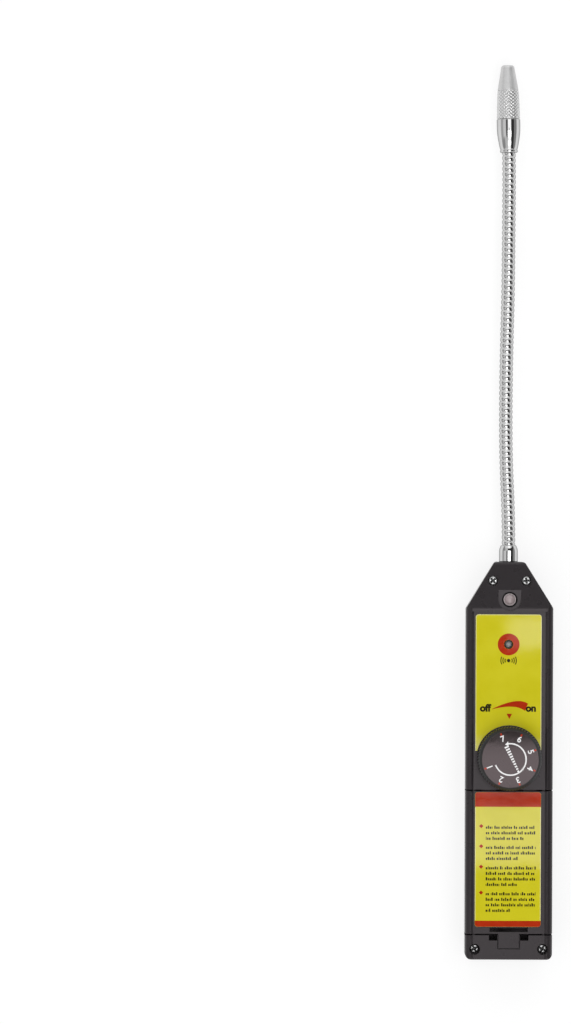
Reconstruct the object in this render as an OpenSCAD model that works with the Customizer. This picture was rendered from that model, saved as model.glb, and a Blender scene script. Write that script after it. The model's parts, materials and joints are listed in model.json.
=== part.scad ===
/* [Housing] */
// Length of the housing without the probe
body_l = 175; // [165:1:220]
// Thickness of the housing from back to front
body_t = 26; // [25:0.5:34]
// Thickness of the housing at its tapered end
top_t = 21.5; // [20:0.5:24]
// Width of the tapered end
top_w = 13.4; // [12.8:0.2:20]
// Length of the tapered shoulders
shoulder_l = 20.4; // [18:0.2:26]
// Height of the parting plane over the back
part_z = 18; // [16.5:0.5:18.5]
// Wall thickness of the mouldings
wall = 2; // [1.6:0.1:2.2]
// Room between the battery bay and each side wall at the parting plane
side_room = 1.45; // [1.4:0.05:5]
// How far each side and shoulder leans in between the parting plane and the back
side_draft = 1.5; // [0:0.1:1.6]
// Rounding of the long front edges
front_edge_r = 3; // [2:0.2:4]
// Rounding of the long back edges
back_edge_r = 3.6; // [2:0.2:4.4]
// Rounding of the housing's corners seen from the front
corner_r = 3; // [1:0.2:5]
// Width of the raised rim along each side of the front
rim_w = 3.5; // [3:0.1:5]
// Depth of the channel between the rims
channel_depth = 0.7; // [0.4:0.1:0.9]

/* [Battery bay] */
// Diameter of a battery cell
cell_d = 14.5; // [13.5:0.1:15]
// Length of a battery cell with its button
cell_l = 50.5; // [46:0.1:54]
// Free room round a battery cell
cell_gap = 0.2; // [0.1:0.05:0.5]
// Wall of the battery bay
bay_wall = 1; // [0.8:0.1:1.5]
// Length of a contact spring when the cells are in
spring_l = 5.1; // [4:0.1:8]
// Length of the end piece below the battery door
end_l = 11.4; // [11:0.1:16]
// Dark gap at each end of the battery door
door_gap = 0.6; // [0.5:0.1:1]
// Width of the door's latch tongue
tongue_w = 9.4; // [6:0.2:10]
// Length of the door's latch tongue past the door
tongue_l = 6.4; // [4:0.2:6.8]
// Width of the grip slot in the door
slot_w = 16.6; // [10:0.2:24]

/* [Controls] */
// Diameter of the sensitivity knob
knob_d = 28.2; // [24:0.2:30]
// Height of the sensitivity knob
knob_h = 8.2; // [6:0.1:12]
// Diameter of the knob's shaft
shaft_d = 6; // [4:0.1:7]
// Number of ribs round the knob
knob_ribs = 66; // [36:1:90]
// Diameter of the lamp's lens
led_d = 5.4; // [3:0.1:6]
// Diameter of the sound hole
sound_hole_d = 4; // [2:0.1:5]
// Distance of the lamp from the tapered end
led_in = 16.5; // [15:0.1:17.5]
// Distance of the sound hole from the tapered end
sound_in = 36.2; // [33:0.1:44]

/* [Probe] */
// Height of the probe's axis over the back
neck_z = 10.5; // [9:0.5:11.5]
// Outside diameter of the wound neck
neck_d = 6; // [5.4:0.1:6.6]
// Distance between turns of the wound neck
neck_pitch = 2.26; // [2.2:0.02:2.6]
// Turns of winding between two bending points
section_turns = 11; // [7:2:15]
// Bore of the neck for the sensor leads
neck_bore = 2.6; // [1.6:0.1:2.8]
// Diameter of the ferrule at the housing
ferrule_d = 8.3; // [7.8:0.1:9]
// Largest diameter of the sensor tip
tip_d = 10.4; // [9.8:0.1:12]
// Length of the polished tip socket
socket_l = 14.8; // [12:0.1:20]
// Length of the knurled band on the sensor tip
knurl_l = 13; // [11:0.1:18]
// Length of the tip's nose cone
nose_l = 10.9; // [8:0.1:14]
// Diameter of the air inlet in the nose
inlet_d = 3; // [2:0.1:3.4]

/* [Fasteners] */
// Thread diameter of the housing screws
screw_d = 2.6; // [2:0.1:3]
// Head diameter of the housing screws
screw_head_d = 4.2; // [3.6:0.1:4.4]
// Depth of the two screw heads at the tapered end
top_screw_depth = 2; // [1.6:0.1:2.2]
// Depth of the two screw heads at the lower end
end_screw_depth = 5; // [3:0.1:5.6]

/* [Labels] */
// Thickness of the printed labels
label_t = 0.25; // [0.1:0.05:0.35]
// Width of the printed labels
label_w = 29; // [24:0.1:30]
// How far the printed labels sit to the right of the middle
label_shift = -0.5; // [-0.7:0.1:0.7]

/* [Hidden] */
$fn = 64;

// Clearances
eps = 0.1;
fit_gap = 0.05;
run_gap = 0.3;
label_room = 0.3;
far = 400;

// Housing outline, with the origin in the middle of its flat back
top_y = body_l / 2;
bottom_y = -body_l / 2;
shoulder_y = top_y - shoulder_l;
cell_pitch = cell_d + cell_gap;
bay_half_w = cell_pitch / 2 + cell_d / 2 + cell_gap;
body_w = 2 * (bay_half_w + bay_wall + side_room + wall);
back_w = body_w - 2 * side_draft;
end_edge_r = 1.5;
shoulder_r = 1.6;
crease_r = 4;
ceiling_z = body_t - wall;
face_z = body_t - channel_depth;
label_reach = label_w / 2 + abs(label_shift);
channel_w = max(body_w - 2 * rim_w, 2 * (label_reach + label_room));
channel_slope = 0.9;
channel_top_y = shoulder_y - 1.4;

// Battery bay, with the cells hung below the door
contact_t = 0.5;
contact_w = 11;
contact_h = 10.5;
button_d = 5.5;
button_l = 1.5;
cell_head_room = 1.4;
bay_lip = 3.15;
cell_z = ceiling_z - cell_head_room - cell_d / 2;
bay_floor_z = cell_z - cell_d / 2 - cell_gap;
bay_l = cell_l + spring_l + 2 * contact_t;
door_bottom = bottom_y + end_l;
door_l = bay_l + 2 * bay_lip;
door_top = door_bottom + door_l;
bay_bottom = door_bottom + bay_lip;
bay_top = bay_bottom + bay_l;
bay_end_z = cell_z + contact_h / 2 + eps;
cheek_top_z = ceiling_z - 0.6;
cheek_up = 5;
cheek_down = 3;
spring_foot_r = 4.4;
spring_head_r = 3;
spring_wire_r = 0.4;
spring_turns = 3;

// Battery door
hook_w = 6;
hook_x = 9;
hook_t = 1.4;
hook_reach = 2;
hook_root = 3;
hook_top_z = ceiling_z - door_gap;
slot_h = 1.95;
slot_y = door_bottom + 1.9;
notch_w = 3.7;
notch_l = 2.9;
tongue_z = face_z - 1.3;
tongue_pad_t = 2;

// Controls
knob_room = 0.3;
knob_y = door_top + knob_d / 2 + knob_room;
knob_base_z = face_z + 0.6;
knob_top_z = knob_base_z + knob_h;
knob_skin = 2.2;
knob_bevel = 1.4;
knob_rib_depth = 0.35;
hub_d = shaft_d + 4;
dial_plate_d = knob_d - 2 * knob_bevel - 0.4;
led_y = top_y - led_in;
sound_y = top_y - sound_in;
sound_x = label_shift;
pocket_w = led_d + 4.6;
pocket_top_y = led_y + 4.2;
pocket_z = front_z(pocket_top_y);
led_top_z = pocket_z + 0.9;

// Circuit board on posts of the rear housing
board_t = 1.6;
board_room = 0.5;
board_z = 11;
board_top_z = board_z + board_t;
board_w = 2 * bay_half_w - 1;
board_bottom = door_top + cheek_up + 1;
board_end = led_y + 4;
post_d = 5.2;
post_inset = 3.2;
post_xs = [-board_w / 2 + post_inset, board_w / 2 - post_inset];
post_ys = [board_bottom + post_inset, board_end - post_inset - 5];
board_screw_d = 2;
pot_d = 14;
pot_h = 7;
bushing_d = shaft_d + 2;
bushing_top_z = ceiling_z - 0.6;
shaft_foot_z = board_top_z + 2;
buzzer_d = 12;
buzzer_h = 8;
buzzer_port_d = 2.2;
buzzer_port_l = 3;
board_screw_head_d = 3.8;
board_screw_head_h = 1.3;
board_screw_l = 6;

// Parts on the board, placed from its middle between the knob and the buzzer
parts_y = (knob_y + sound_y) / 2;
chip_place = [6.5, parts_y, board_z + board_t];
chip_size = [6.4, 18, 3.4];
chip_lift = 0.6;
chip_pins = 7;
pin_pitch = 2.54;
pin_size = [1, 0.6, 2.2];
coil_place = [-7, parts_y + 4, board_z + board_t];
coil_foot = [10, 11, 1.5];
coil_core = [6, 11, 9];
coil_d = 9;
coil_l = 7;
capacitor_d = 6.3;
capacitor_h = 9;
capacitor_places = [[-9, parts_y - 12, board_z + board_t], [-9, parts_y - 5, board_z + board_t]];
lead_x = 1.27;
lead_w = 0.5;

// Housing screws: place, seat height and boss
boss_d = 5.8;
screw_head_h = 1.5;
screw_grip = 8;
top_screw_x = top_w / 2 + 0.65;
top_screw_y = top_y - 8.2;
end_screw_x = body_w / 2 - 4.3;
end_screw_y = bottom_y + 4.6;
top_seat_z = front_z(top_screw_y) - top_screw_depth;
end_seat_z = face_z - end_screw_depth;
screw_places = [[-top_screw_x, top_screw_y, top_seat_z], [top_screw_x, top_screw_y, top_seat_z],
    [-end_screw_x, end_screw_y, end_seat_z], [end_screw_x, end_screw_y, end_seat_z]];

// Probe: a wound neck as sections on ball joints
neck_r = neck_d / 2;
bore_r = neck_bore / 2;
wire_r = neck_pitch * 0.41;
core_r = neck_r - 0.6;
ball_r = neck_r - 0.3;
cup_r = ball_r + 0.15;
section_l = section_turns * neck_pitch;
spigot_l = 5;
spigot_r = core_r - eps;
ferrule_l = 7.3;
shank_d = ferrule_d - 1.5;
nut_t = 3;
nut_flats = shank_d + 1.8;
neck_base_y = top_y + ferrule_l;
// Lean of the root, the six sections and the end as the neck lies, in degrees to the right
lean = [0, -2.9, -0.5, 0.7, 1.4, 0.3, 0.4, -1];

// Sensor tip, measured along its own axis from the end of the neck
lip_d = tip_d - 2.6;
lip_l = 1.2;
thread_d = tip_d - 3.6;
thread_l = 6;
nose_d = neck_d - 0.2;
knurl_taper = 0.45;
chamber_d = thread_d - 1.4;
chamber_l = 10;
insulator_l = 6;
needle_d = 0.8;
needle_l = 12;

/* Shared shapes */
function unit(v) = v / norm(v);
function bisector(a, p, b) = unit(unit(a - p) + unit(b - p));
function half_angle(a, p, b) = acos(unit(a - p) * unit(b - p)) / 2;
function before(points, i) = points[(i + len(points) - 1) % len(points)];
function after(points, i) = points[(i + 1) % len(points)];
// Point on the bisector of corner i whose distance from both sides is d
function inward(points, i, d) = points[i]
    + d / sin(half_angle(before(points, i), points[i], after(points, i)))
    * bisector(before(points, i), points[i], after(points, i));
// Convex outline moved inwards by d on every side
function inset(points, d) = [for (i = [0:len(points) - 1]) inward(points, i, d)];
// Tangent points of a rounded corner, or the corner itself where it is sharp
function corner_ends(points, i, r) = r <= 0 ? [points[i]] :
    let (reach = r / tan(half_angle(before(points, i), points[i], after(points, i))))
    [points[i] + reach * unit(before(points, i) - points[i]),
     points[i] + reach * unit(after(points, i) - points[i])];
// Height of the front face at a place along the housing
function front_z(y) = body_t - max(0, y - shoulder_y) / shoulder_l * (body_t - top_t);
function heading(k) = [sin(lean[k]), cos(lean[k]), 0];
// Bending point k of the neck, from 1 at the root to 7 at the end
function pivot(k) = k == 1 ? [0, neck_base_y, neck_z] + section_l / 2 * heading(0)
    : pivot(k - 1) + section_l * heading(k - 1);

// Convex outline with true arcs at its corners
module rounded_outline(points, radii) {
    polygon([for (i = [0:len(points) - 1]) each corner_ends(points, i, radii[i])]);
    for (i = [0:len(points) - 1])
        if (radii[i] > 0)
            translate(inward(points, i, radii[i]))
                circle(radii[i]);
}

function eased(radii, d) = [for (r = radii) r <= 0 ? 0 : max(r - d, 0.4)];

// Outer form of the housing, moved inwards by d: front outline, cross-section and side profile in common
module form(d) {
    plan = [[-body_w / 2, bottom_y], [body_w / 2, bottom_y], [body_w / 2, shoulder_y],
        [top_w / 2, top_y], [-top_w / 2, top_y], [-body_w / 2, shoulder_y]];
    section = [[-back_w / 2, 0], [back_w / 2, 0], [body_w / 2, part_z], [body_w / 2, body_t],
        [-body_w / 2, body_t], [-body_w / 2, part_z]];
    side = [[bottom_y, 0], [top_y, 0], [top_y, top_t], [shoulder_y, body_t], [bottom_y, body_t]];
    intersection() {
        translate([0, 0, -body_t])
            linear_extrude(3 * body_t)
                rounded_outline(inset(plan, d),
                    eased([corner_r, corner_r, shoulder_r, shoulder_r, shoulder_r, shoulder_r], d));
        translate([0, body_l, 0])
            rotate([90, 0, 0])
                linear_extrude(2 * body_l)
                    rounded_outline(inset(section, d),
                        eased([back_edge_r, back_edge_r, 0, front_edge_r, front_edge_r, 0], d));
        translate([-body_w, 0, 0])
            rotate([90, 0, 90])
                linear_extrude(2 * body_w)
                    rounded_outline(inset(side, d),
                        eased([end_edge_r, end_edge_r, end_edge_r, crease_r, end_edge_r], d));
        shoulder_side(d);
        mirror([1, 0, 0])
            shoulder_side(d);
    }
}

// Everything inside the right shoulder's lower side, which leans in towards the back, moved inwards by d
module shoulder_side(d) {
    translate([top_w / 2, top_y, part_z])
        rotate([0, 0, -atan2(shoulder_l, (body_w - top_w) / 2)])
            rotate([-atan(side_draft / part_z), 0, 0])
                block([-far, -far, -far], [far, -d, far]);
}

// Box between two corners
module block(low, high) {
    translate(low)
        cube(high - low);
}

// Box that stands on z = 0 round the axis
module standing_block(size) {
    translate([-size.x / 2, -size.y / 2, 0])
        cube(size);
}

// Everything above or below a height
module above(z) {
    block([-far, -far, z], [far, far, z + far]);
}

module below(z) {
    block([-far, -far, z - far], [far, far, z]);
}

// Shallow channel along the front, with sloped sides
module channel_cut() {
    translate([0, channel_top_y, face_z])
        rotate([90, 0, 0])
            linear_extrude(body_l)
                polygon([[-channel_w / 2, 0], [channel_w / 2, 0],
                    [channel_w / 2 + 2 * channel_slope, 2 * channel_depth],
                    [-channel_w / 2 - 2 * channel_slope, 2 * channel_depth]]);
}

// Turned piece round +Y at a place, from a half-profile drawn as [radius, distance]
module turned(place, angle) {
    translate(place)
        rotate([0, 0, -angle])
            rotate([-90, 0, 0])
                rotate_extrude()
                    children();
}

// Pan-head screw standing on z = 0 with its shank downwards
module pan_screw(thread, head, head_h, shank_l) {
    slot = head * 0.2;
    arm = head * 0.62;
    recess_z = head_h * 0.35;
    difference() {
        rotate_extrude()
            polygon([[0, -shank_l], [thread * 0.35, -shank_l], [thread / 2, thread * 0.4 - shank_l],
                [thread / 2, 0], [head / 2, 0], [head / 2, head_h * 0.5], [head * 0.4, head_h * 0.9],
                [head * 0.3, head_h], [0, head_h]]);
        block([-slot / 2, -arm / 2, recess_z], [slot / 2, arm / 2, head_h + eps]);
        block([-arm / 2, -slot / 2, recess_z], [arm / 2, slot / 2, head_h + eps]);
    }
}

/* Housing */
module rear_housing() {
    color([0.23, 0.21, 0.22])
        difference() {
            union() {
                difference() {
                    intersection() {
                        form(0);
                        below(part_z);
                    }
                    form(wall);
                }
                intersection() {
                    form(wall / 2);
                    for (place = screw_places)
                        translate([place.x, place.y, 0])
                            cylinder(d = boss_d, h = part_z);
                }
                for (x = post_xs, y = post_ys)
                    translate([x, y, wall / 2])
                        cylinder(d = post_d, h = board_z - wall / 2);
            }
            for (place = screw_places)
                translate([place.x, place.y, place.z - screw_grip - 4])
                    cylinder(d = screw_d + 2 * fit_gap, h = body_t);
            for (x = post_xs, y = post_ys)
                translate([x, y, board_z - 5])
                    cylinder(d = board_screw_d + 2 * fit_gap, h = body_t);
            turned([0, top_y - 2 * wall, neck_z], 0)
                square([shank_d / 2 + fit_gap, 3 * wall]);
        }
}

// Open tub that holds the cells and ties the two ends of the cover together
module bay_tub() {
    out = bay_half_w + bay_wall;
    difference() {
        block([-out, bay_bottom - bay_wall, bay_floor_z - bay_wall], [out, bay_top + bay_wall, bay_end_z]);
        block([-bay_half_w, bay_bottom, bay_floor_z], [bay_half_w, bay_top, body_t]);
    }
    for (side = [-1, 1]) {
        x = side * (bay_half_w + bay_wall / 2);
        half = bay_wall / 2;
        block([x - half, door_bottom - cheek_down, part_z], [x + half, door_top + cheek_up, cheek_top_z]);
        block([x - half, door_top + door_gap, part_z], [x + half, door_top + cheek_up, ceiling_z + eps]);
        block([x - half, door_bottom - cheek_down, part_z], [x + half, door_bottom - door_gap, ceiling_z + eps]);
    }
}

// Bosses, lamp seat, sound tube and latch pad under the cover's face
module cover_bosses() {
    pad_x = tongue_w / 2 + notch_w + 1.2;
    pad_z = tongue_z - run_gap - tongue_pad_t;
    for (place = screw_places)
        translate([place.x, place.y, part_z])
            cylinder(d = boss_d, h = body_t);
    translate([0, led_y, pocket_z - wall])
        cylinder(d = pocket_w + 2, h = body_t);
    translate([sound_x, sound_y, board_top_z + buzzer_h + 0.4])
        cylinder(d = sound_hole_d + 3, h = body_t);
    block([-pad_x, door_bottom - end_l, pad_z], [pad_x, door_bottom - door_gap, body_t]);
}

module front_cover() {
    color([0.25, 0.23, 0.24])
        difference() {
            union() {
                difference() {
                    intersection() {
                        form(0);
                        above(part_z);
                    }
                    form(wall);
                    block([-far, door_bottom - door_gap, 0], [far, door_top + door_gap, body_t + eps]);
                }
                intersection() {
                    form(wall / 2);
                    cover_bosses();
                }
                bay_tub();
            }
            channel_cut();
            lamp_pocket();
            translate([0, led_y, 0])
                cylinder(d = led_d + 1, h = 2 * body_t);
            translate([sound_x, sound_y, 0])
                cylinder(d = sound_hole_d, h = 2 * body_t);
            translate([0, knob_y, part_z])
                cylinder(d = shaft_d + 1, h = body_t);
            for (place = screw_places) {
                translate(place)
                    cylinder(d = screw_head_d + 0.6, h = body_t);
                translate([place.x, place.y, 0])
                    cylinder(d = screw_d + 0.4, h = body_t);
            }
            latch_pocket();
        }
}

// Level seat of the lamp, cut into the sloped end
module lamp_pocket() {
    translate([0, led_y, pocket_z])
        linear_extrude(body_t)
            union() {
                circle(d = pocket_w);
                translate([-pocket_w / 2, 0])
                    square([pocket_w, pocket_w]);
            }
}

// Recess for the door's tongue, with a notch through the cover at each side of it
module latch_pocket() {
    x = tongue_w / 2 + run_gap;
    block([-x, door_bottom - tongue_l - run_gap, tongue_z - run_gap], [x, door_bottom, body_t]);
    for (side = [-1, 1])
        translate([side * (x + notch_w / 2), door_bottom - notch_l / 2, body_t / 2])
            cube([notch_w, notch_l, body_t + 2], center = true);
}

module housing_screws() {
    color([0.78, 0.78, 0.78])
        for (place = screw_places)
            translate(place)
                pan_screw(screw_d, screw_head_d, screw_head_h, screw_grip);
}

/* Labels */
// Flat sheet with rounded corners between two places along the housing
module sheet_outline(low_y, high_y, r) {
    low_x = label_shift - label_w / 2;
    high_x = label_shift + label_w / 2;
    rounded_outline([[low_x, low_y], [high_x, low_y], [high_x, high_y], [low_x, high_y]], [r, r, r, r]);
}

module control_label() {
    color([0.79, 0.76, 0.15])
        translate([0, 0, face_z])
            linear_extrude(label_t)
                difference() {
                    sheet_outline(knob_y + 3.2, channel_top_y - 1.2, 1.2);
                    translate([sound_x, sound_y])
                        circle(d = sound_hole_d);
                    translate([0, knob_y])
                        circle(d = knob_d + 0.8);
                }
}

module instruction_label() {
    color([0.79, 0.76, 0.15])
        translate([0, 0, face_z])
            linear_extrude(label_t)
                sheet_outline(slot_y + slot_h / 2 + 0.3, door_top - 0.5, 1.2);
}

/* Battery door */
module battery_door() {
    color([0.25, 0.23, 0.24])
        difference() {
            union() {
                difference() {
                    intersection() {
                        form(0);
                        block([-far, door_bottom, part_z + run_gap], [far, door_top, far]);
                    }
                    form(wall);
                }
                for (side = [-1, 1])
                    door_hook(side * hook_x);
                block([-tongue_w / 2, door_bottom - tongue_l, tongue_z],
                    [tongue_w / 2, door_bottom + wall, face_z]);
            }
            channel_cut();
            translate([0, slot_y, body_t])
                cube([slot_w, slot_h, 2 * wall + 2], center = true);
        }
}

// Hook that turns under the edge of the cover
module door_hook(x) {
    low_z = hook_top_z - hook_t;
    block([x - hook_w / 2, door_top - hook_root, low_z], [x + hook_w / 2, door_top, ceiling_z + eps]);
    block([x - hook_w / 2, door_top - hook_root, low_z], [x + hook_w / 2, door_top + hook_reach, hook_top_z]);
}

/* Controls */
module sensitivity_knob() {
    rim_r = knob_d / 2;
    step = 360 / knob_ribs;
    color([0.16, 0.15, 0.15])
        translate([0, knob_y, 0])
            difference() {
                union() {
                    translate([0, 0, knob_base_z])
                        linear_extrude(knob_h - knob_bevel)
                            polygon([for (i = [0:knob_ribs - 1]) each [
                                rim_r * [cos(i * step), sin(i * step)],
                                rim_r * [cos((i + 0.4) * step), sin((i + 0.4) * step)],
                                (rim_r - knob_rib_depth) * [cos((i + 0.7) * step), sin((i + 0.7) * step)]]]);
                    translate([0, 0, knob_top_z - knob_bevel])
                        cylinder(r1 = rim_r - 2 * knob_rib_depth, r2 = rim_r - knob_bevel, h = knob_bevel);
                }
                translate([0, 0, knob_base_z - 1])
                    difference() {
                        cylinder(r = rim_r - knob_skin, h = knob_h - knob_skin + 1);
                        cylinder(d = hub_d, h = knob_h);
                    }
                translate([0, 0, knob_base_z - 1])
                    cylinder(d = shaft_d + 2 * fit_gap, h = knob_h - knob_skin + 1);
            }
}

module dial_plate() {
    color([0.35, 0.32, 0.32])
        translate([0, knob_y, knob_top_z])
            cylinder(d = dial_plate_d, h = 0.3);
}

module pot_shaft() {
    color([0.75, 0.74, 0.7])
        translate([0, knob_y, shaft_foot_z])
            cylinder(d = shaft_d, h = knob_top_z - knob_skin - run_gap - shaft_foot_z);
}

module pot_case() {
    color([0.6, 0.6, 0.58])
        translate([0, knob_y, board_top_z])
            difference() {
                union() {
                    cylinder(d = pot_d, h = pot_h);
                    cylinder(d = bushing_d, h = bushing_top_z - board_top_z);
                }
                translate([0, 0, shaft_foot_z - run_gap - board_top_z])
                    cylinder(d = shaft_d + 2 * fit_gap, h = body_t);
            }
}

module status_led() {
    lens_r = led_d / 2;
    flange_z = pocket_z - wall - 3;
    color([0.66, 0.6, 0.6])
        union() {
            translate([0, led_y, 0])
                rotate_extrude()
                    intersection() {
                        union() {
                            translate([0, flange_z])
                                square([lens_r + 0.3, 1]);
                            translate([0, flange_z])
                                square([lens_r, led_top_z - lens_r / 2 - flange_z]);
                            translate([0, led_top_z - lens_r])
                                circle(lens_r);
                        }
                        translate([0, flange_z])
                            square([led_d, led_d * 4]);
                    }
            for (side = [-1, 1])
                translate([side * lead_x, led_y, board_top_z])
                    standing_block([lead_w, lead_w, flange_z + eps - board_top_z]);
        }
}

/* Electronics */
module circuit_board() {
    color([0.1, 0.36, 0.18])
        difference() {
            intersection() {
                block([-board_w / 2, board_bottom, board_z], [board_w / 2, board_end, board_top_z]);
                form(wall + board_room);
            }
            for (x = post_xs, y = post_ys)
                translate([x, y, 0])
                    cylinder(d = board_screw_d + 0.4, h = body_t);
        }
}

module board_screws() {
    color([0.8, 0.8, 0.78])
        for (x = post_xs, y = post_ys)
            translate([x, y, board_top_z])
                pan_screw(board_screw_d, board_screw_head_d, board_screw_head_h, board_screw_l);
}

module buzzer() {
    color([0.12, 0.12, 0.12])
        translate([sound_x, sound_y, board_top_z])
            difference() {
                cylinder(d = buzzer_d, h = buzzer_h);
                translate([0, 0, buzzer_h - buzzer_port_l])
                    cylinder(d = buzzer_port_d, h = buzzer_h);
            }
}

module control_chip() {
    color([0.13, 0.13, 0.14])
        translate(chip_place) {
            translate([0, 0, chip_lift])
                standing_block(chip_size);
            for (side = [-1, 1], i = [0:chip_pins - 1])
                translate([side * (chip_size.x + pin_size.x / 2) / 2, (i - (chip_pins - 1) / 2) * pin_pitch, 0])
                    standing_block(pin_size);
        }
}

module transformer() {
    color([0.62, 0.5, 0.2])
        translate(coil_place) {
            standing_block(coil_foot);
            standing_block(coil_core);
            translate([0, 0, coil_foot.z / 2])
                cylinder(d = coil_d, h = coil_l);
        }
}

module capacitors() {
    color([0.2, 0.22, 0.4])
        for (place = capacitor_places)
            translate(place)
                cylinder(d = capacitor_d, h = capacitor_h);
}

/* Cells and contacts */
module cell() {
    can_l = cell_l - button_l;
    rotate_extrude()
        polygon([[0, 0], [cell_d / 2 - 0.8, 0], [cell_d / 2, 0.8], [cell_d / 2, can_l - 0.8],
            [cell_d / 2 - 0.8, can_l], [button_d / 2, can_l], [button_d / 2, cell_l], [0, cell_l]]);
}

module battery_cell_left() {
    color([0.2, 0.34, 0.5])
        translate([-cell_pitch / 2, bay_top - contact_t - cell_l, cell_z])
            rotate([-90, 0, 0])
                cell();
}

module battery_cell_right() {
    color([0.2, 0.34, 0.5])
        translate([cell_pitch / 2, bay_bottom + contact_t + cell_l, cell_z])
            rotate([90, 0, 0])
                cell();
}

// Plate against an end wall of the bay
module contact_plate(low_x, high_x, y) {
    block([low_x, y, cell_z - contact_h / 2], [high_x, y + contact_t, cell_z + contact_h / 2]);
}

module positive_contact() {
    color([0.8, 0.78, 0.72])
        contact_plate(-cell_pitch / 2 - contact_w / 2, -cell_pitch / 2 + contact_w / 2, bay_top - contact_t);
}

module negative_contact() {
    color([0.8, 0.78, 0.72])
        contact_plate(cell_pitch / 2 - contact_w / 2, cell_pitch / 2 + contact_w / 2, bay_top - contact_t);
}

module bridge_contact() {
    color([0.8, 0.78, 0.72])
        contact_plate(-cell_pitch / 2 - contact_w / 2, cell_pitch / 2 + contact_w / 2, bay_bottom);
}

// Tapered coil spring that stands on z = 0
module coil_spring(foot_r, head_r, wire, height, turns) {
    rings = turns * 12;
    sides = 6;
    points = [for (i = [0:rings], j = [0:sides - 1])
        let (t = i / rings, a = 360 * turns * t, b = 360 * j / sides,
            r = foot_r + (head_r - foot_r) * t + wire * cos(b))
        [r * cos(a), r * sin(a), wire + (height - 2 * wire) * t + wire * sin(b)]];
    skin = [for (i = [0:rings - 1], j = [0:sides - 1])
        let (k = (j + 1) % sides)
        each [[i * sides + j, (i + 1) * sides + j, (i + 1) * sides + k],
            [i * sides + j, (i + 1) * sides + k, i * sides + k]]];
    first = [for (j = [0:sides - 1]) j];
    last = [for (j = [sides - 1:-1:0]) rings * sides + j];
    polyhedron(points, concat([first], skin, [last]));
}

module contact_springs() {
    color([0.82, 0.8, 0.76]) {
        translate([-cell_pitch / 2, bay_bottom + contact_t, cell_z])
            rotate([-90, 0, 0])
                coil_spring(spring_foot_r, spring_head_r, spring_wire_r, spring_l, spring_turns);
        translate([cell_pitch / 2, bay_top - contact_t, cell_z])
            rotate([90, 0, 0])
                coil_spring(spring_foot_r, spring_head_r, spring_wire_r, spring_l, spring_turns);
    }
}

/* Probe */
module neck_ferrule() {
    mouth_r = neck_r + 0.4;
    color([0.85, 0.85, 0.86])
        turned([0, top_y, neck_z], 0)
            difference() {
                union() {
                    translate([0, -wall - nut_t - 0.5])
                        square([shank_d / 2, wall + nut_t + 1]);
                    polygon([[0, 0], [ferrule_d / 2, 0], [ferrule_d / 2, ferrule_l - 2.4],
                        [ferrule_d / 2 - 0.2, ferrule_l - 1.4], [mouth_r, ferrule_l], [0, ferrule_l]]);
                }
                translate([-eps, ferrule_l - spigot_l - run_gap])
                    square([spigot_r + fit_gap + eps, spigot_l + 1]);
                translate([-eps, -body_t])
                    square([bore_r + eps, 2 * body_t]);
            }
}

module neck_nut() {
    color([0.78, 0.7, 0.45])
        translate([0, top_y - wall, neck_z])
            rotate([90, 30, 0])
                difference() {
                    cylinder(d = nut_flats / cos(30), h = nut_t, $fn = 6);
                    translate([0, 0, -1])
                        cylinder(d = shank_d + 2 * fit_gap, h = nut_t + 2);
                }
}

// Half-profile of wound tube between two distances, with a turn of wire at every pitch
module winding(low, high, first_turn, last_turn) {
    translate([bore_r, low])
        square([core_r - bore_r, high - low]);
    for (i = [first_turn:last_turn])
        translate([neck_r - wire_r, i * neck_pitch])
            circle(wire_r, $fn = 24);
}

// Ball at the start of a section, bored for the leads
module ball_profile() {
    intersection() {
        circle(ball_r);
        translate([bore_r, -neck_r])
            square([neck_r, 2 * neck_r]);
    }
}

// Half-profile of the fixed piece of neck, from the ferrule's mouth to the first bending point
module root_profile() {
    reach = section_l / 2;
    turns = floor(section_turns / 2);
    difference() {
        union() {
            translate([0, reach])
                mirror([0, 1])
                    winding(neck_pitch / 2, reach, 1, turns);
            translate([bore_r, -spigot_l])
                square([spigot_r - bore_r, spigot_l + eps]);
        }
        translate([0, reach])
            circle(cup_r);
    }
}

module section_profile() {
    difference() {
        union() {
            winding(neck_pitch / 2, section_l - neck_pitch / 2, 1, section_turns - 1);
            ball_profile();
        }
        translate([0, section_l])
            circle(cup_r);
    }
}

module end_profile() {
    reach = section_l / 2;
    union() {
        winding(neck_pitch / 2, reach, 1, floor(section_turns / 2));
        ball_profile();
        translate([bore_r, reach - eps])
            square([spigot_r - bore_r, spigot_l + eps]);
    }
}

module neck_section(k) {
    color([0.8, 0.8, 0.81])
        turned(pivot(k), lean[k])
            section_profile();
}

module neck_root() {
    color([0.8, 0.8, 0.81])
        turned([0, neck_base_y, neck_z], lean[0])
            root_profile();
}

module neck_section_1() { neck_section(1); }

module neck_section_2() { neck_section(2); }

module neck_section_3() { neck_section(3); }

module neck_section_4() { neck_section(4); }

module neck_section_5() { neck_section(5); }

module neck_section_6() { neck_section(6); }

module neck_end() {
    color([0.8, 0.8, 0.81])
        turned(pivot(7), lean[7])
            end_profile();
}

/* Sensor tip */
// Places a half-profile on the tip's axis, with zero at the end of the neck
module on_tip() {
    turned(pivot(7) + section_l / 2 * heading(7), lean[7])
        children();
}

// Rounded flare of the socket from its lip to its full width
function flare(t) = [lip_d / 2 + (tip_d - lip_d) / 2 * sin(90 * t), lip_l + 0.3 + t * (socket_l - 3.5 - lip_l)];

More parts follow.
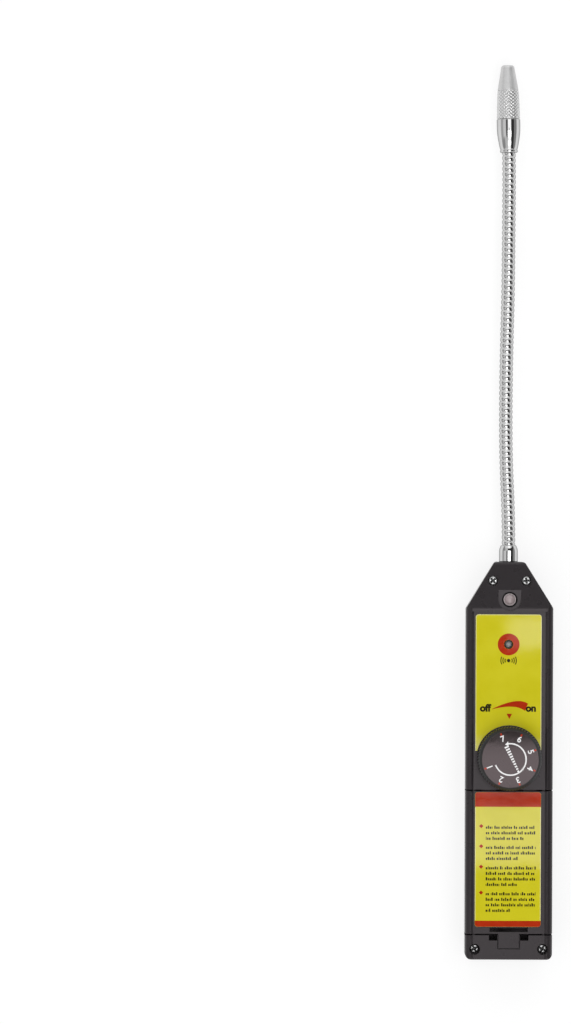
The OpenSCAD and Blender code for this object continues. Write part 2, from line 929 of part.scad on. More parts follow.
module tip_socket() {
    color([0.85, 0.85, 0.86])
        on_tip()
            difference() {
                union() {
                    polygon(concat([[0, 0], [lip_d / 2 - 0.3, 0], [lip_d / 2, 0.3], [lip_d / 2, lip_l],
                        [lip_d / 2 - 0.1, lip_l + 0.3]], [for (t = [0.2:0.2:1]) flare(t)],
                        [[tip_d / 2, socket_l - 0.2], [tip_d / 2 - 0.2, socket_l], [0, socket_l]]));
                    translate([0, socket_l - 1])
                        square([thread_d / 2, thread_l + 1]);
                }
                translate([-eps, -1])
                    square([spigot_r + fit_gap + eps, spigot_l + run_gap + 1]);
                translate([-eps, 0])
                    square([bore_r + eps, 2 * socket_l]);
            }
}

module sensor_tip() {
    tip_l = knurl_l + nose_l;
    knurl_r = tip_d / 2 - 0.05;
    color([0.75, 0.75, 0.76])
        on_tip()
            translate([0, socket_l + fit_gap])
                difference() {
                    polygon(concat([[0, 0], [knurl_r - 0.3, 0], [knurl_r, 0.3]],
                        [for (t = [0.25:0.25:1]) [knurl_r - knurl_taper * pow(t, 2), t * knurl_l]],
                        [[nose_d / 2, tip_l - 0.9], [nose_d / 2 - 0.35, tip_l - 0.25],
                            [nose_d / 2 - 0.95, tip_l], [0, tip_l]]));
                    translate([-eps, -1])
                        square([thread_d / 2 + fit_gap + eps, thread_l + run_gap + 1]);
                    translate([-eps, 0])
                        square([chamber_d / 2 + eps, thread_l + chamber_l]);
                    translate([-eps, 0])
                        square([inlet_d / 2 + eps, 2 * tip_l]);
                }
}

module sensor_insulator() {
    color([0.9, 0.88, 0.82])
        on_tip()
            translate([needle_d / 2 + fit_gap, socket_l + thread_l + run_gap])
                square([chamber_d / 2 - run_gap / 2 - needle_d / 2 - fit_gap, insulator_l]);
}

module sensor_needle() {
    color([0.8, 0.78, 0.7])
        on_tip()
            translate([0, socket_l + thread_l + run_gap])
                polygon([[0, 0], [needle_d / 2, 0], [needle_d / 2, needle_l - 1.5], [0, needle_l]]);
}

rear_housing();
front_cover();
housing_screws();
control_label();
status_led();
circuit_board();
board_screws();
buzzer();
pot_case();
control_chip();
transformer();
capacitors();
battery_cell_left();
battery_cell_right();
positive_contact();
negative_contact();
bridge_contact();
contact_springs();
neck_ferrule();
neck_nut();
neck_root();
battery_door();
instruction_label();
sensitivity_knob();
dial_plate();
pot_shaft();
neck_section_1();
neck_section_2();
neck_section_3();
neck_section_4();
neck_section_5();
neck_section_6();
neck_end();
tip_socket();
sensor_tip();
sensor_insulator();
sensor_needle();
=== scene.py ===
import json
import math

import bmesh
import bpy
from mathutils import Matrix, Vector

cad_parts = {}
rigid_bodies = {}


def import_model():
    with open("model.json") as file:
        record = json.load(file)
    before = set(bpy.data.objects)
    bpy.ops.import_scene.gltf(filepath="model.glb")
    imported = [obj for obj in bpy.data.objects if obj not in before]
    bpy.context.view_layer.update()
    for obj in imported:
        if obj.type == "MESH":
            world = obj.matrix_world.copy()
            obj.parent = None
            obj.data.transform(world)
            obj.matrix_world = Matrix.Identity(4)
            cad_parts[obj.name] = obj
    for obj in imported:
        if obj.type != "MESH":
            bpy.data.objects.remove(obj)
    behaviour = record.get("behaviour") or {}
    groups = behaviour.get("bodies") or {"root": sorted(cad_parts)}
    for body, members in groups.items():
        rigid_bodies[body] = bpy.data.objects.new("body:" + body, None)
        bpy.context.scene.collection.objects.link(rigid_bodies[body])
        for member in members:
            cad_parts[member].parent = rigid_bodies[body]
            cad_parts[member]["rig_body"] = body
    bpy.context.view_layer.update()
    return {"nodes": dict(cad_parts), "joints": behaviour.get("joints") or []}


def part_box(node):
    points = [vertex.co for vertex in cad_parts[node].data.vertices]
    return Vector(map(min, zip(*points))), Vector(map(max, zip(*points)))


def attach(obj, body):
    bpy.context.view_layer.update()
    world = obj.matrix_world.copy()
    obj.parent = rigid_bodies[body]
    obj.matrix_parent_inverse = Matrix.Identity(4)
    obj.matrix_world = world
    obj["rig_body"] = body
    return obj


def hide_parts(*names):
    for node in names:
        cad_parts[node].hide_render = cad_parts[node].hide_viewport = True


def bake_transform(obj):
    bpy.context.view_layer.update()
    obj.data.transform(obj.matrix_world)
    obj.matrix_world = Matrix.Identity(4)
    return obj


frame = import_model()

# Meshes are written in millimetres and scaled by MM into the frame's metres
MM = 0.001
TO_METRES = Matrix.Scale(MM, 4)
UP = Vector((0, 0, 1))
JOINTS = {joint["name"]: joint for joint in frame["joints"]}


def box_mm(node):
    """Lowest and highest corner of a CAD node, in millimetres."""
    low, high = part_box(node)
    return low / MM, high / MM


def middle_xy(low, high):
    """Middle of a box, seen from above."""
    return ((low[0] + high[0]) / 2, (low[1] + high[1]) / 2)


# Finishes

# Values of the noise at which a finish reaches its extremes
NOISE_LOW, NOISE_HIGH = 0.3, 0.7
RELIEF_DETAIL = 2.0


class Finish:
    """A procedural material: a Principled shader fed by noise in the object's own coordinates."""

    def __init__(self, name, **constants):
        self.material = bpy.data.materials.new(name)
        self.material.use_nodes = True
        self.nodes = self.material.node_tree.nodes
        self.links = self.material.node_tree.links
        self.shader = self.nodes["Principled BSDF"]
        for socket, value in constants.items():
            self.shader.inputs[socket.replace("_", " ")].default_value = value
        self.place = self.nodes.new("ShaderNodeTexCoord").outputs["Object"]

    def noise(self, size, detail=3.0, stretch=(1, 1, 1)):
        """Noise with grains of about size millimetres, drawn out along the axes by stretch."""
        mapping = self.nodes.new("ShaderNodeMapping")
        mapping.inputs["Scale"].default_value = [1 / s for s in stretch]
        texture = self.nodes.new("ShaderNodeTexNoise")
        texture.inputs["Scale"].default_value = 1 / (size * MM)
        texture.inputs["Detail"].default_value = detail
        self.links.new(self.place, mapping.inputs["Vector"])
        self.links.new(mapping.outputs["Vector"], texture.inputs["Vector"])
        return texture.outputs["Fac"]

    def tones(self, factor, dark, light):
        """Base colour between two tones."""
        ramp = self.nodes.new("ShaderNodeValToRGB")
        places = (NOISE_LOW, NOISE_HIGH)
        for element, position, tone in zip(ramp.color_ramp.elements, places, (dark, light)):
            element.position = position
            element.color = (*tone, 1)
        self.links.new(factor, ramp.inputs["Fac"])
        self.links.new(ramp.outputs["Color"], self.shader.inputs["Base Color"])

    def roughness(self, factor, low, high):
        """Roughness between two values."""
        spread = self.nodes.new("ShaderNodeMapRange")
        spread.inputs["From Min"].default_value = NOISE_LOW
        spread.inputs["From Max"].default_value = NOISE_HIGH
        spread.inputs["To Min"].default_value = low
        spread.inputs["To Max"].default_value = high
        self.links.new(factor, spread.inputs["Value"])
        self.links.new(spread.outputs["Result"], self.shader.inputs["Roughness"])

    def relief(self, factor, height):
        """Fine relief of a height in millimetres."""
        bump = self.nodes.new("ShaderNodeBump")
        bump.inputs["Distance"].default_value = height * MM
        self.links.new(factor, bump.inputs["Height"])
        self.links.new(bump.outputs["Normal"], self.shader.inputs["Normal"])


def mottled(name, dark, light, rough, grain, relief=0.0, relief_grain=0.4, stretch=(1, 1, 1), **constants):
    """Finish with mottled colour, uneven roughness and a fine relief."""
    finish = Finish(name, **constants)
    patches = finish.noise(grain, stretch=stretch)
    finish.tones(patches, dark, light)
    finish.roughness(patches, *rough)
    if relief:
        finish.relief(finish.noise(relief_grain, detail=RELIEF_DETAIL, stretch=stretch), relief)
    return finish.material


def grey(value):
    return (value, value, value)


# Each finish gives its darker and lighter tone, lowest and highest roughness, and grain in millimetres
METAL = {"Metallic": 1.0}
SATIN = {"Specular_IOR_Level": 0.28}
FILM_GLOSS = (0.03, 0.05)
FILM_WAVES = {"relief": 0.008, "relief_grain": 9.0}
INK = {"Specular_IOR_Level": 0.24, **FILM_WAVES}

housing_plastic = mottled(
    "housing_plastic", (0.0245, 0.0213, 0.0230), (0.0258, 0.0224, 0.0243), (0.27, 0.29), 5.0,
    relief=0.002, relief_grain=0.35, Specular_Tint=(1, 0.92, 0.95, 1), **SATIN)
knob_plastic = mottled(
    "knob_plastic", grey(0.009), grey(0.015), (0.28, 0.42), 1.5,
    relief=0.006, relief_grain=0.3, **SATIN)
# Near-black matte finish of the ring round the lamp, which paints the shade of the gap
shadow_ring_black = mottled(
    "shadow_ring_black", grey(0.004), grey(0.008), (0.75, 0.90), 0.8, Specular_IOR_Level=0.1)
lamp_lens = mottled(
    "lamp_lens", (0.29, 0.235, 0.24), (0.37, 0.305, 0.31), (0.16, 0.24), 0.9, Coat_Weight=0.3)

label_yellow = mottled(
    "label_yellow", (0.575, 0.520, 0.012), (0.615, 0.560, 0.018), FILM_GLOSS, 9.0, **FILM_WAVES)
ink_red = mottled("ink_red", (0.380, 0.024, 0.005), (0.430, 0.031, 0.007), FILM_GLOSS, 3.0, **INK)
ink_black = mottled("ink_black", (0.018, 0.014, 0.007), (0.026, 0.021, 0.011), FILM_GLOSS, 1.5, **INK)
# Pale yellow of the strips along the films' edges: a painted highlight of their cut edges
edge_highlight_pale = mottled("edge_highlight_pale", (0.70, 0.67, 0.30), (0.76, 0.73, 0.36), FILM_GLOSS, 1.5, **FILM_WAVES)
ink_white = mottled("ink_white", grey(0.74), grey(0.82), (0.12, 0.20), 1.5)
dial_film = mottled(
    "dial_film", (0.014, 0.012, 0.011), (0.020, 0.017, 0.016), (0.04, 0.06), 5.0,
    relief=0.003, relief_grain=6.0, Specular_IOR_Level=0.62, Specular_Tint=(0.9, 0.73, 0.77, 1))

chrome = mottled(
    "chrome", grey(0.60), grey(0.66), (0.05, 0.10), 1.2,
    stretch=(1, 4, 1), Specular_Tint=(0.32, 0.32, 0.32, 1), **METAL)
satin_nickel = mottled(
    "satin_nickel", grey(0.64), grey(0.70), (0.40, 0.48), 0.8,
    relief=0.004, relief_grain=0.25, Metallic=0.6)
knurl_nickel = mottled("knurl_nickel", grey(0.65), grey(0.71), (0.23, 0.28), 0.8, Metallic=0.75)
sounder_grey = mottled("sounder_grey", grey(0.24), grey(0.34), (0.45, 0.60), 1.0, Metallic=0.5)
screw_steel = mottled("screw_steel", grey(0.44), grey(0.54), (0.24, 0.34), 0.9, **METAL)

board_green = mottled("board_green", (0.010, 0.085, 0.030), (0.018, 0.125, 0.045), (0.30, 0.42), 4.0)
component_black = mottled("component_black", grey(0.012), grey(0.022), (0.40, 0.55), 1.0, relief=0.008)
coil_amber = mottled(
    "coil_amber", (0.30, 0.17, 0.03), (0.42, 0.26, 0.06), (0.30, 0.45), 0.6, stretch=(1, 1, 0.3))
capacitor_sleeve = mottled(
    "capacitor_sleeve", (0.020, 0.026, 0.085), (0.030, 0.038, 0.120), (0.25, 0.35), 1.5)
pot_metal = mottled("pot_metal", grey(0.50), grey(0.60), (0.30, 0.42), 1.0, **METAL)
contact_steel = mottled(
    "contact_steel", (0.64, 0.62, 0.58), (0.74, 0.72, 0.67), (0.22, 0.34), 1.2, **METAL)
nut_brass = mottled("nut_brass", (0.58, 0.42, 0.17), (0.68, 0.50, 0.22), (0.22, 0.34), 1.2, **METAL)
sensor_ceramic = mottled(
    "sensor_ceramic", (0.74, 0.71, 0.63), (0.82, 0.79, 0.71), (0.40, 0.55), 0.8, relief=0.006)
cell_can = mottled("cell_can", grey(0.58), grey(0.68), (0.20, 0.32), 1.2, **METAL)
cell_sleeve = mottled("cell_sleeve", (0.030, 0.110, 0.230), (0.040, 0.140, 0.280), (0.18, 0.28), 6.0)
cell_band = mottled(
    "cell_band", (0.46, 0.24, 0.085), (0.56, 0.31, 0.120), (0.18, 0.28), 4.0, Metallic=0.6)


# Mesh building

SHARP_DEG = 32.0
FLAT_SHARP_DEG = 12.0
DRESSED_SHARP_DEG = 14.0
# Distances in millimetres within which points become one, in new meshes and in joined or copied ones
WELD = 1e-4
JOIN_WELD = 0.002


def shaded(mesh, sharp_deg=SHARP_DEG):
    """Smooth shading with sharp edges where faces meet at more than an angle."""
    mesh.polygons.foreach_set("use_smooth", [True] * len(mesh.polygons))
    mesh.set_sharp_from_angle(angle=math.radians(sharp_deg))
    return mesh


def piece(name, mesh, body, finish, stands_for=()):
    """Puts a mesh in the scene, riding on a CAD body and standing for CAD nodes."""
    made = bpy.data.objects.new(name, mesh)
    bpy.context.scene.collection.objects.link(made)
    mesh.materials.clear()
    mesh.materials.append(finish)
    if body:
        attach(made, body)
    if stands_for:
        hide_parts(*stands_for)
    return made


def mesh_of(work, sharp_deg=SHARP_DEG):
    """Finished mesh, in metres, of a bmesh in millimetres."""
    bmesh.ops.remove_doubles(work, verts=work.verts, dist=WELD)
    bmesh.ops.recalc_face_normals(work, faces=work.faces)
    mesh = bpy.data.meshes.new("mesh")
    work.to_mesh(mesh)
    work.free()
    mesh.transform(TO_METRES)
    return shaded(mesh, sharp_deg)


def bridge(work, rings, loop=False, caps=False):
    """Faces between closed rings of points, each ring with as many points as the next."""
    rows = [[work.verts.new(point) for point in ring] for ring in rings]
    count = len(rows[0])
    pairs = list(zip(rows, rows[1:]))
    if loop:
        pairs.append((rows[-1], rows[0]))
    for low, high in pairs:
        for i in range(count):
            j = (i + 1) % count
            work.faces.new((low[i], low[j], high[j], high[i]))
    if caps:
        work.faces.new(rows[0])
        work.faces.new(rows[-1])


def quadratic(start, corner, end, t):
    """Point of a quadratic curve."""
    return (1 - t) ** 2 * start + 2 * t * (1 - t) * corner + t * t * end


# Largest share of an edge that a corner's curve takes, and the short straight run that leads into it
EASE_SHARE = 0.42
EASE_RUN = 0.1


def eased(profile, cut, steps=4, loop=False):
    """Polyline with each corner replaced by a short curve that starts cut millimetres before it."""
    points = [Vector(point) for point in profile]
    out = []
    for i, corner in enumerate(points):
        if not loop and i in (0, len(points) - 1):
            out.append(corner)
            continue
        before = points[i - 1] - corner
        after = points[(i + 1) % len(points)] - corner
        start = corner + before.normalized() * min(cut, EASE_SHARE * before.length)
        end = corner + after.normalized() * min(cut, EASE_SHARE * after.length)
        out.append(start + EASE_RUN * (start - corner))
        out += [quadratic(start, corner, end, k / steps) for k in range(steps + 1)]
        out.append(end + EASE_RUN * (end - corner))
    return out


def round_angles(steps):
    """Angles of one full turn in equal steps."""
    return [2 * math.pi * i / steps for i in range(steps)]


def turned(profile, place, steps=96, loop=False, radius_at=None):
    """Mesh of a half-profile of (radius, distance) points turned round the Y axis of a placing matrix."""
    rings = []
    for radius, along in profile:
        ring = []
        for a in round_angles(steps):
            r = radius_at(radius, along, a) if radius_at else radius
            ring.append(place @ Vector((r * math.cos(a), along, r * math.sin(a))))
        rings.append(ring)
    work = bmesh.new()
    bridge(work, rings, loop=loop)
    return mesh_of(work)


def along_axis(start, axis):
    """Matrix that puts the origin at start and turns +Y into axis."""
    turn = Vector((0, 1, 0)).rotation_difference(Vector(axis))
    return Matrix.Translation(start) @ turn.to_matrix().to_4x4()


def mesh_from(data, low_z):
    """Mesh, in metres, of a curve or a text that is drawn in millimetres, standing on a height."""
    carrier = bpy.data.objects.new("carrier", data)
    bpy.context.scene.collection.objects.link(carrier)
    bpy.context.view_layer.update()
    evaluated = carrier.evaluated_get(bpy.context.evaluated_depsgraph_get())
    mesh = bpy.data.meshes.new_from_object(evaluated)
    bpy.data.objects.remove(carrier)
    mesh.transform(Matrix.Translation((0, 0, low_z - min(v.co.z for v in mesh.vertices))))
    mesh.transform(TO_METRES)
    return mesh


def flat(outlines, low_z, thickness, edge=0.0):
    """Mesh of filled outlines, the inner ones as holes, with softened edges."""
    curve = bpy.data.curves.new("outlines", "CURVE")
    curve.dimensions = "2D"
    curve.fill_mode = "BOTH"
    curve.extrude = thickness / 2 - edge
    curve.bevel_depth = edge
    curve.bevel_resolution = 1
    curve.offset = -edge
    for outline in outlines:
        spline = curve.splines.new("POLY")
        spline.points.add(len(outline) - 1)
        for point, place in zip(spline.points, outline):
            point.co = (place[0], place[1], 0, 1)
        spline.use_cyclic_u = True
    return shaded(mesh_from(curve, low_z), FLAT_SHARP_DEG)


def word(text, centre, size, turn, low_z, thickness, weight):
    """Mesh of a generic mark such as a digit, in the plain built-in typeface."""
    curve = bpy.data.curves.new("mark", "FONT")
    curve.body = text
    curve.size = size
    curve.extrude = thickness / 2
    curve.offset = weight
    curve.align_x = "CENTER"
    curve.align_y = "CENTER"
    mesh = mesh_from(curve, low_z)
    mesh.transform(Matrix.Translation((centre[0] * MM, centre[1] * MM, 0)) @ Matrix.Rotation(turn, 4, "Z"))
    return mesh


def joined(meshes):
    """One mesh of several."""
    work = bmesh.new()
    for mesh in meshes:
        work.from_mesh(mesh)
    bmesh.ops.remove_doubles(work, verts=work.verts, dist=JOIN_WELD * MM)
    bmesh.ops.recalc_face_normals(work, faces=work.faces)
    whole = bpy.data.meshes.new("mesh")
    work.to_mesh(whole)
    work.free()
    return shaded(whole)


CORNER_STEPS = 8


def polar(centre, radius, angle):
    """Point at a radius and an angle round a centre."""
    return (centre[0] + radius * math.cos(angle), centre[1] + radius * math.sin(angle))


def circle(centre, radius, steps=64):
    """Points of a circle."""
    return [polar(centre, radius, a) for a in round_angles(steps)]


def arc(centre, radius, start_deg, end_deg, steps=48):
    """Points of an arc, with both its ends."""
    angles = [math.radians(start_deg + (end_deg - start_deg) * i / steps) for i in range(steps + 1)]
    return [polar(centre, radius, a) for a in angles]


def arc_band(centre, radius, half_w, start_deg, end_deg, steps):
    """Outline of a band that follows an arc."""
    return (arc(centre, radius + half_w, start_deg, end_deg, steps)
            + arc(centre, radius - half_w, end_deg, start_deg, steps))


def bar(low, high):
    """Corners of a rectangle."""
    return [(low[0], low[1]), (high[0], low[1]), (high[0], high[1]), (low[0], high[1])]


def rounded_bar(low, high, radii):
    """Rectangle with a corner radius for each of its corners, from the lower left one round."""
    starts_deg = (180, 270, 0, 90)
    inward = ((1, 1), (-1, 1), (-1, -1), (1, -1))
    outline = []
    for (x, y), start, (sx, sy), r in zip(bar(low, high), starts_deg, inward, radii):
        if r:
            outline += arc((x + sx * r, y + sy * r), r, start, start + 90, CORNER_STEPS)
        else:
            outline.append((x, y))
    return outline


def bezier(points, steps=24):
    """Points of a quadratic curve, with both its ends."""
    start, corner, end = (Vector(point) for point in points)
    return [tuple(quadratic(start, corner, end, i / steps)) for i in range(steps + 1)]


# Faces within FLAT_DEG become one, and edges over EDGE_DEG are softened
FLAT_DEG = 0.5
EDGE_DEG = 30.0
EDGE_SEGMENTS = 2
LARGE_FACE_WEIGHT = 100


def dressed(node, finish, edge):
    """Copy of a CAD node with clean faces and softened edges, which stands for the node."""
    source = frame["nodes"][node]
    work = bmesh.new()
    work.from_mesh(source.data)
    bmesh.ops.remove_doubles(work, verts=work.verts, dist=JOIN_WELD * MM)
    bmesh.ops.dissolve_limit(work, angle_limit=math.radians(FLAT_DEG), verts=work.verts, edges=work.edges)
    mesh = bpy.data.meshes.new(node)
    work.to_mesh(mesh)
    work.free()
    made = piece(node + "_skin", shaded(mesh, DRESSED_SHARP_DEG), source["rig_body"], finish, [node])
    soften = made.modifiers.new("edges", "BEVEL")
    soften.width = edge * MM
    soften.segments = EDGE_SEGMENTS
    soften.limit_method = "ANGLE"
    soften.angle_limit = math.radians(EDGE_DEG)
    level = made.modifiers.new("even_shading", "WEIGHTED_NORMAL")
    level.weight = LARGE_FACE_WEIGHT
    level.keep_sharp = True


def painted(node, finish):
    """Gives a CAD node that stays in view its finish."""
    slots = frame["nodes"][node].data.materials
    slots.clear()
    slots.append(finish)


# Housing

HOUSING_EDGE = 0.22
for node in ("front_cover", "rear_housing", "battery_door"):
    dressed(node, housing_plastic, HOUSING_EDGE)
painted("status_led", lamp_lens)

# Screws: a pan head that drops at its rim, a cross recess whose arms run out, and rolled thread
HEAD_R, HEAD_H = 2.1, 1.5
HEAD_RINGS, HEAD_STEPS = 16, 64
RIM_DROP, DOME_POWER = 0.5, 8
RECESS_HALF, RECESS_DEPTH = 0.5, 1.45
RECESS_REACH, RECESS_RUN_OUT = 1.35, 0.35
SCREW_R, SCREW_L = 1.3, 8.0
UNDERCUT = 0.2
THREAD_STEP, THREAD_DEPTH = 0.9, 0.25
VALLEY_AT, CREST_AT = 0.35, 0.7
POINT_SHARE = 0.7
# Turn of each screw in radians, by its side and its end of the housing
SCREW_TURNS = {(-1, 1): 0.7, (1, 1): 0.1, (-1, -1): 0.5, (1, -1): 1.1}


def head_height(x, y):
    """Height of a pan head over its seat, with a cross recess whose arms are steep grooves."""
    r = math.hypot(x, y)
    dome = HEAD_H * (1 - RIM_DROP * (r / HEAD_R) ** DOME_POWER)
    groove = 0.0
    for across, along in ((x, y), (y, x)):
        side = max(0.0, 1 - abs(across) / RECESS_HALF)
        end = min(1.0, max(0.0, (RECESS_REACH - abs(along)) / RECESS_RUN_OUT))
        groove = max(groove, side * end)
    return dome - RECESS_DEPTH * groove


def screw(work, seat, turn):
    """Pan-head screw on a seat, with rolled thread below it."""
    place = Matrix.Translation(seat) @ Matrix.Rotation(turn, 4, "Z")
    angles = round_angles(HEAD_STEPS)
    rings = []
    for i in range(HEAD_RINGS + 1):
        r = HEAD_R * i / HEAD_RINGS
        spokes = [(r * math.cos(a), r * math.sin(a)) for a in angles]
        rings.append([place @ Vector((x, y, head_height(x, y))) for x, y in spokes])
    below = [(HEAD_R, 0), (SCREW_R - UNDERCUT, 0)]
    for i in range(int(SCREW_L / THREAD_STEP)):
        below.append((SCREW_R - THREAD_DEPTH, -THREAD_STEP * (i + VALLEY_AT)))
        below.append((SCREW_R, -THREAD_STEP * (i + CREST_AT)))
    below += [(SCREW_R * POINT_SHARE, -SCREW_L), (0, -SCREW_L)]
    for r, z in below:
        rings.append([place @ Vector((r * math.cos(a), r * math.sin(a), z)) for a in angles])
    bridge(work, rings)


screw_points = [vertex.co / MM for vertex in frame["nodes"]["housing_screws"].data.vertices]
screws = bmesh.new()
for (side, end), turn in SCREW_TURNS.items():
    own = [point for point in screw_points if point.x * side > 0 and point.y * end > 0]
    low = [min(point[i] for point in own) for i in range(3)]
    high = [max(point[i] for point in own) for i in range(3)]
    screw(screws, (*middle_xy(low, high), high[2] - HEAD_H), turn)
piece("screws", mesh_of(screws), "housing", screw_steel, ["housing_screws"])

# Near-black ring in the gap between the lamp and its pocket, with a thin lip on the pocket's floor: a dark
# sheet that stands for painted shadow in the gap
LAMP_TOP_OVER_POCKET = 0.9
SHADOW_RING_INNER_R, SHADOW_RING_OUTER_R, SHADOW_RING_LIP_R = 2.74, 3.17, 3.4
SHADOW_RING_DEPTH, SHADOW_RING_LIP_T = 1.0, 0.12
SHADOW_RING_EDGE = 0.15
SHADOW_RING_STEPS = 64
lamp_low, lamp_high = box_mm("status_led")
pocket_z = lamp_high.z - LAMP_TOP_OVER_POCKET
shadow_ring_foot_z = pocket_z - SHADOW_RING_DEPTH
shadow_ring_lip_z = pocket_z + SHADOW_RING_LIP_T
shadow_ring_profile = eased([
    (SHADOW_RING_INNER_R, shadow_ring_foot_z), (SHADOW_RING_OUTER_R, shadow_ring_foot_z), (SHADOW_RING_OUTER_R, pocket_z),
    (SHADOW_RING_LIP_R, pocket_z), (SHADOW_RING_LIP_R, shadow_ring_lip_z), (SHADOW_RING_INNER_R, shadow_ring_lip_z),
], SHADOW_RING_EDGE, loop=True)
lamp_axis = along_axis((*middle_xy(lamp_low, lamp_high), 0), UP)
piece("lamp_shadow_ring", turned(shadow_ring_profile, lamp_axis, SHADOW_RING_STEPS, loop=True),
      "housing", shadow_ring_black)


# Labels

FILM_EDGE = 0.05
INK_T = 0.03
CORNER_R = 1.2
# Width of the pale strip that paints the highlight of the films' cut edges
EDGE_HIGHLIGHT_W = 0.26
KNOB_CLEAR = 0.4
SOUND_BELOW_TOP = 13.2
SOUND_HOLE_R = 2.0

label_low, label_high = box_mm("control_label")
label_top_z = label_high.z
film_t = label_high.z - label_low.z
knob_low, knob_high = box_mm("sensitivity_knob")
knob_centre = middle_xy(knob_low, knob_high)
knob_r = (knob_high.x - knob_low.x) / 2
sound = ((label_low.x + label_high.x) / 2, label_high.y - SOUND_BELOW_TOP)


def control_outline():
    """Outline of the upper film, whose lower edge runs round the knob between two short tails."""
    left, right = label_low.x, label_high.x
    foot, top = label_low.y, label_high.y
    cut_r = knob_r + KNOB_CLEAR
    foot_deg = math.degrees(math.asin((foot - knob_centre[1]) / cut_r))
    ends, tails = [], []
    for reach, x in ((knob_centre[0] - left, left), (right - knob_centre[0], right)):
        meets = math.degrees(math.acos(reach / cut_r)) if reach < cut_r else 0.0
        ends.append(max(meets, foot_deg))
        tails.append([] if meets > foot_deg else [(x, foot)])
    return (tails[0] + arc(knob_centre, cut_r, 180 - ends[0], ends[1]) + tails[1]
            + arc((right - CORNER_R, top - CORNER_R), CORNER_R, 0, 90, CORNER_STEPS)
            + arc((left + CORNER_R, top - CORNER_R), CORNER_R, 90, 180, CORNER_STEPS))


control_outlines = [control_outline(), circle(sound, SOUND_HOLE_R)]
piece("control_film", flat(control_outlines, label_low.z, film_t, FILM_EDGE),
      "housing", label_yellow, ["control_label"])


def edge_highlight_path(inset):
    """Left, upper and right edge of the upper film, where a painted highlight of its cut edge runs."""
    left, right, top = label_low.x + inset, label_high.x - inset, label_high.y - inset
    foot = label_low.y + FILM_EDGE
    r = CORNER_R - inset
    return ([(left, foot)] + arc((left + r, top - r), r, 180, 90, CORNER_STEPS)
            + arc((right - r, top - r), r, 90, 0, CORNER_STEPS) + [(right, foot)])


# Pale strip just inside the upper film's edge: a painted highlight of its cut edge
control_edge_highlight = edge_highlight_path(FILM_EDGE) + edge_highlight_path(FILM_EDGE + EDGE_HIGHLIGHT_W)[::-1]
piece("control_edge_highlight", flat([control_edge_highlight], label_top_z, INK_T), "housing", edge_highlight_pale)

# Cap of the sounder, seen at the bottom of the sound hole: its dome as (radius, drop from the top)
CAP_TOP_BELOW_FACE = 1.2
CAP_DOME = [(0, 0), (0.6, 0.03), (1.1, 0.12), (1.5, 0.36), (1.75, 0.7), (1.85, 1.0)]
CAP_STEPS = 48
cap_r = CAP_DOME[-1][0]
cap_top_z = label_low.z - CAP_TOP_BELOW_FACE
buzzer_top_z = box_mm("buzzer")[1].z
cap_profile = [(r, cap_top_z - drop) for r, drop in CAP_DOME] + [(cap_r, buzzer_top_z), (0, buzzer_top_z)]
piece("sound_cap", turned(cap_profile, along_axis((*sound, 0), UP), CAP_STEPS),
      "housing", sounder_grey)

# Red print: a ring round the sound hole, a sweep that widens towards its end, and the knob's pointer
SOUND_RING_R = 4.8
SWEEP_OUTER = [(-7.7, 22.9), (3.6, 28.4), (8.1, 25.3)]
SWEEP_INNER = [(6.8, 22.1), (2.4, 25.4), (-7.7, 22.75)]
POINTER = [(-1.3, 20.8), (1.1, 20.8), (-0.1, 18.5)]
red_print = [
    flat([circle(sound, SOUND_RING_R), circle(sound, SOUND_HOLE_R + FILM_EDGE)], label_top_z, INK_T),
    flat([bezier(SWEEP_OUTER) + bezier(SWEEP_INNER)], label_top_z, INK_T),
    flat([POINTER], label_top_z, INK_T),
]
piece("control_print_red", joined(red_print), "housing", ink_red)

# Black print: a plain sound sign and the words at the sweep's ends
SIGN = (-0.5, 44.2)
SIGN_DOT_R = 0.75
SIGN_WAVES = (1.6, 2.5, 3.4)
SIGN_HALF_LINE = 0.2
SIGN_HALF_DEG = 30
SIGN_STEPS = 16
END_WORD_SIZE = 4.3
END_WORD_WEIGHT = 0.21
END_WORDS = {"off": (-10.7, 23.2), "on": (9.4, 23.2)}
sign = [circle(SIGN, SIGN_DOT_R)]
for r in SIGN_WAVES:
    for middle in (0, 180):
        start_deg, end_deg = middle - SIGN_HALF_DEG, middle + SIGN_HALF_DEG
        sign.append(arc_band(SIGN, r, SIGN_HALF_LINE, start_deg, end_deg, SIGN_STEPS))
black_print = [flat(sign, label_top_z, INK_T)]
for text, place in END_WORDS.items():
    black_print.append(word(text, place, END_WORD_SIZE, 0, label_top_z, INK_T, END_WORD_WEIGHT))
piece("control_print_black", joined(black_print), "housing", ink_black)

# Film on the battery door, with a pale painted highlight along its left and right edges, and red bands
HEADER_H = 6.4
FOOTER_H = 2.6
BAND_R = CORNER_R - FILM_EDGE
door_film_low, door_film_high = box_mm("instruction_label")
door_top_z = door_film_high.z
door_film = rounded_bar(door_film_low, door_film_high, [CORNER_R] * 4)
piece("door_film", flat([door_film], door_film_low.z, film_t, FILM_EDGE),
      "battery_door", label_yellow, ["instruction_label"])

left_x, right_x = door_film_low.x + FILM_EDGE, door_film_high.x - FILM_EDGE
top_y, foot_y = door_film_high.y - FILM_EDGE, door_film_low.y + FILM_EDGE
header_y, footer_y = top_y - HEADER_H, foot_y + FOOTER_H
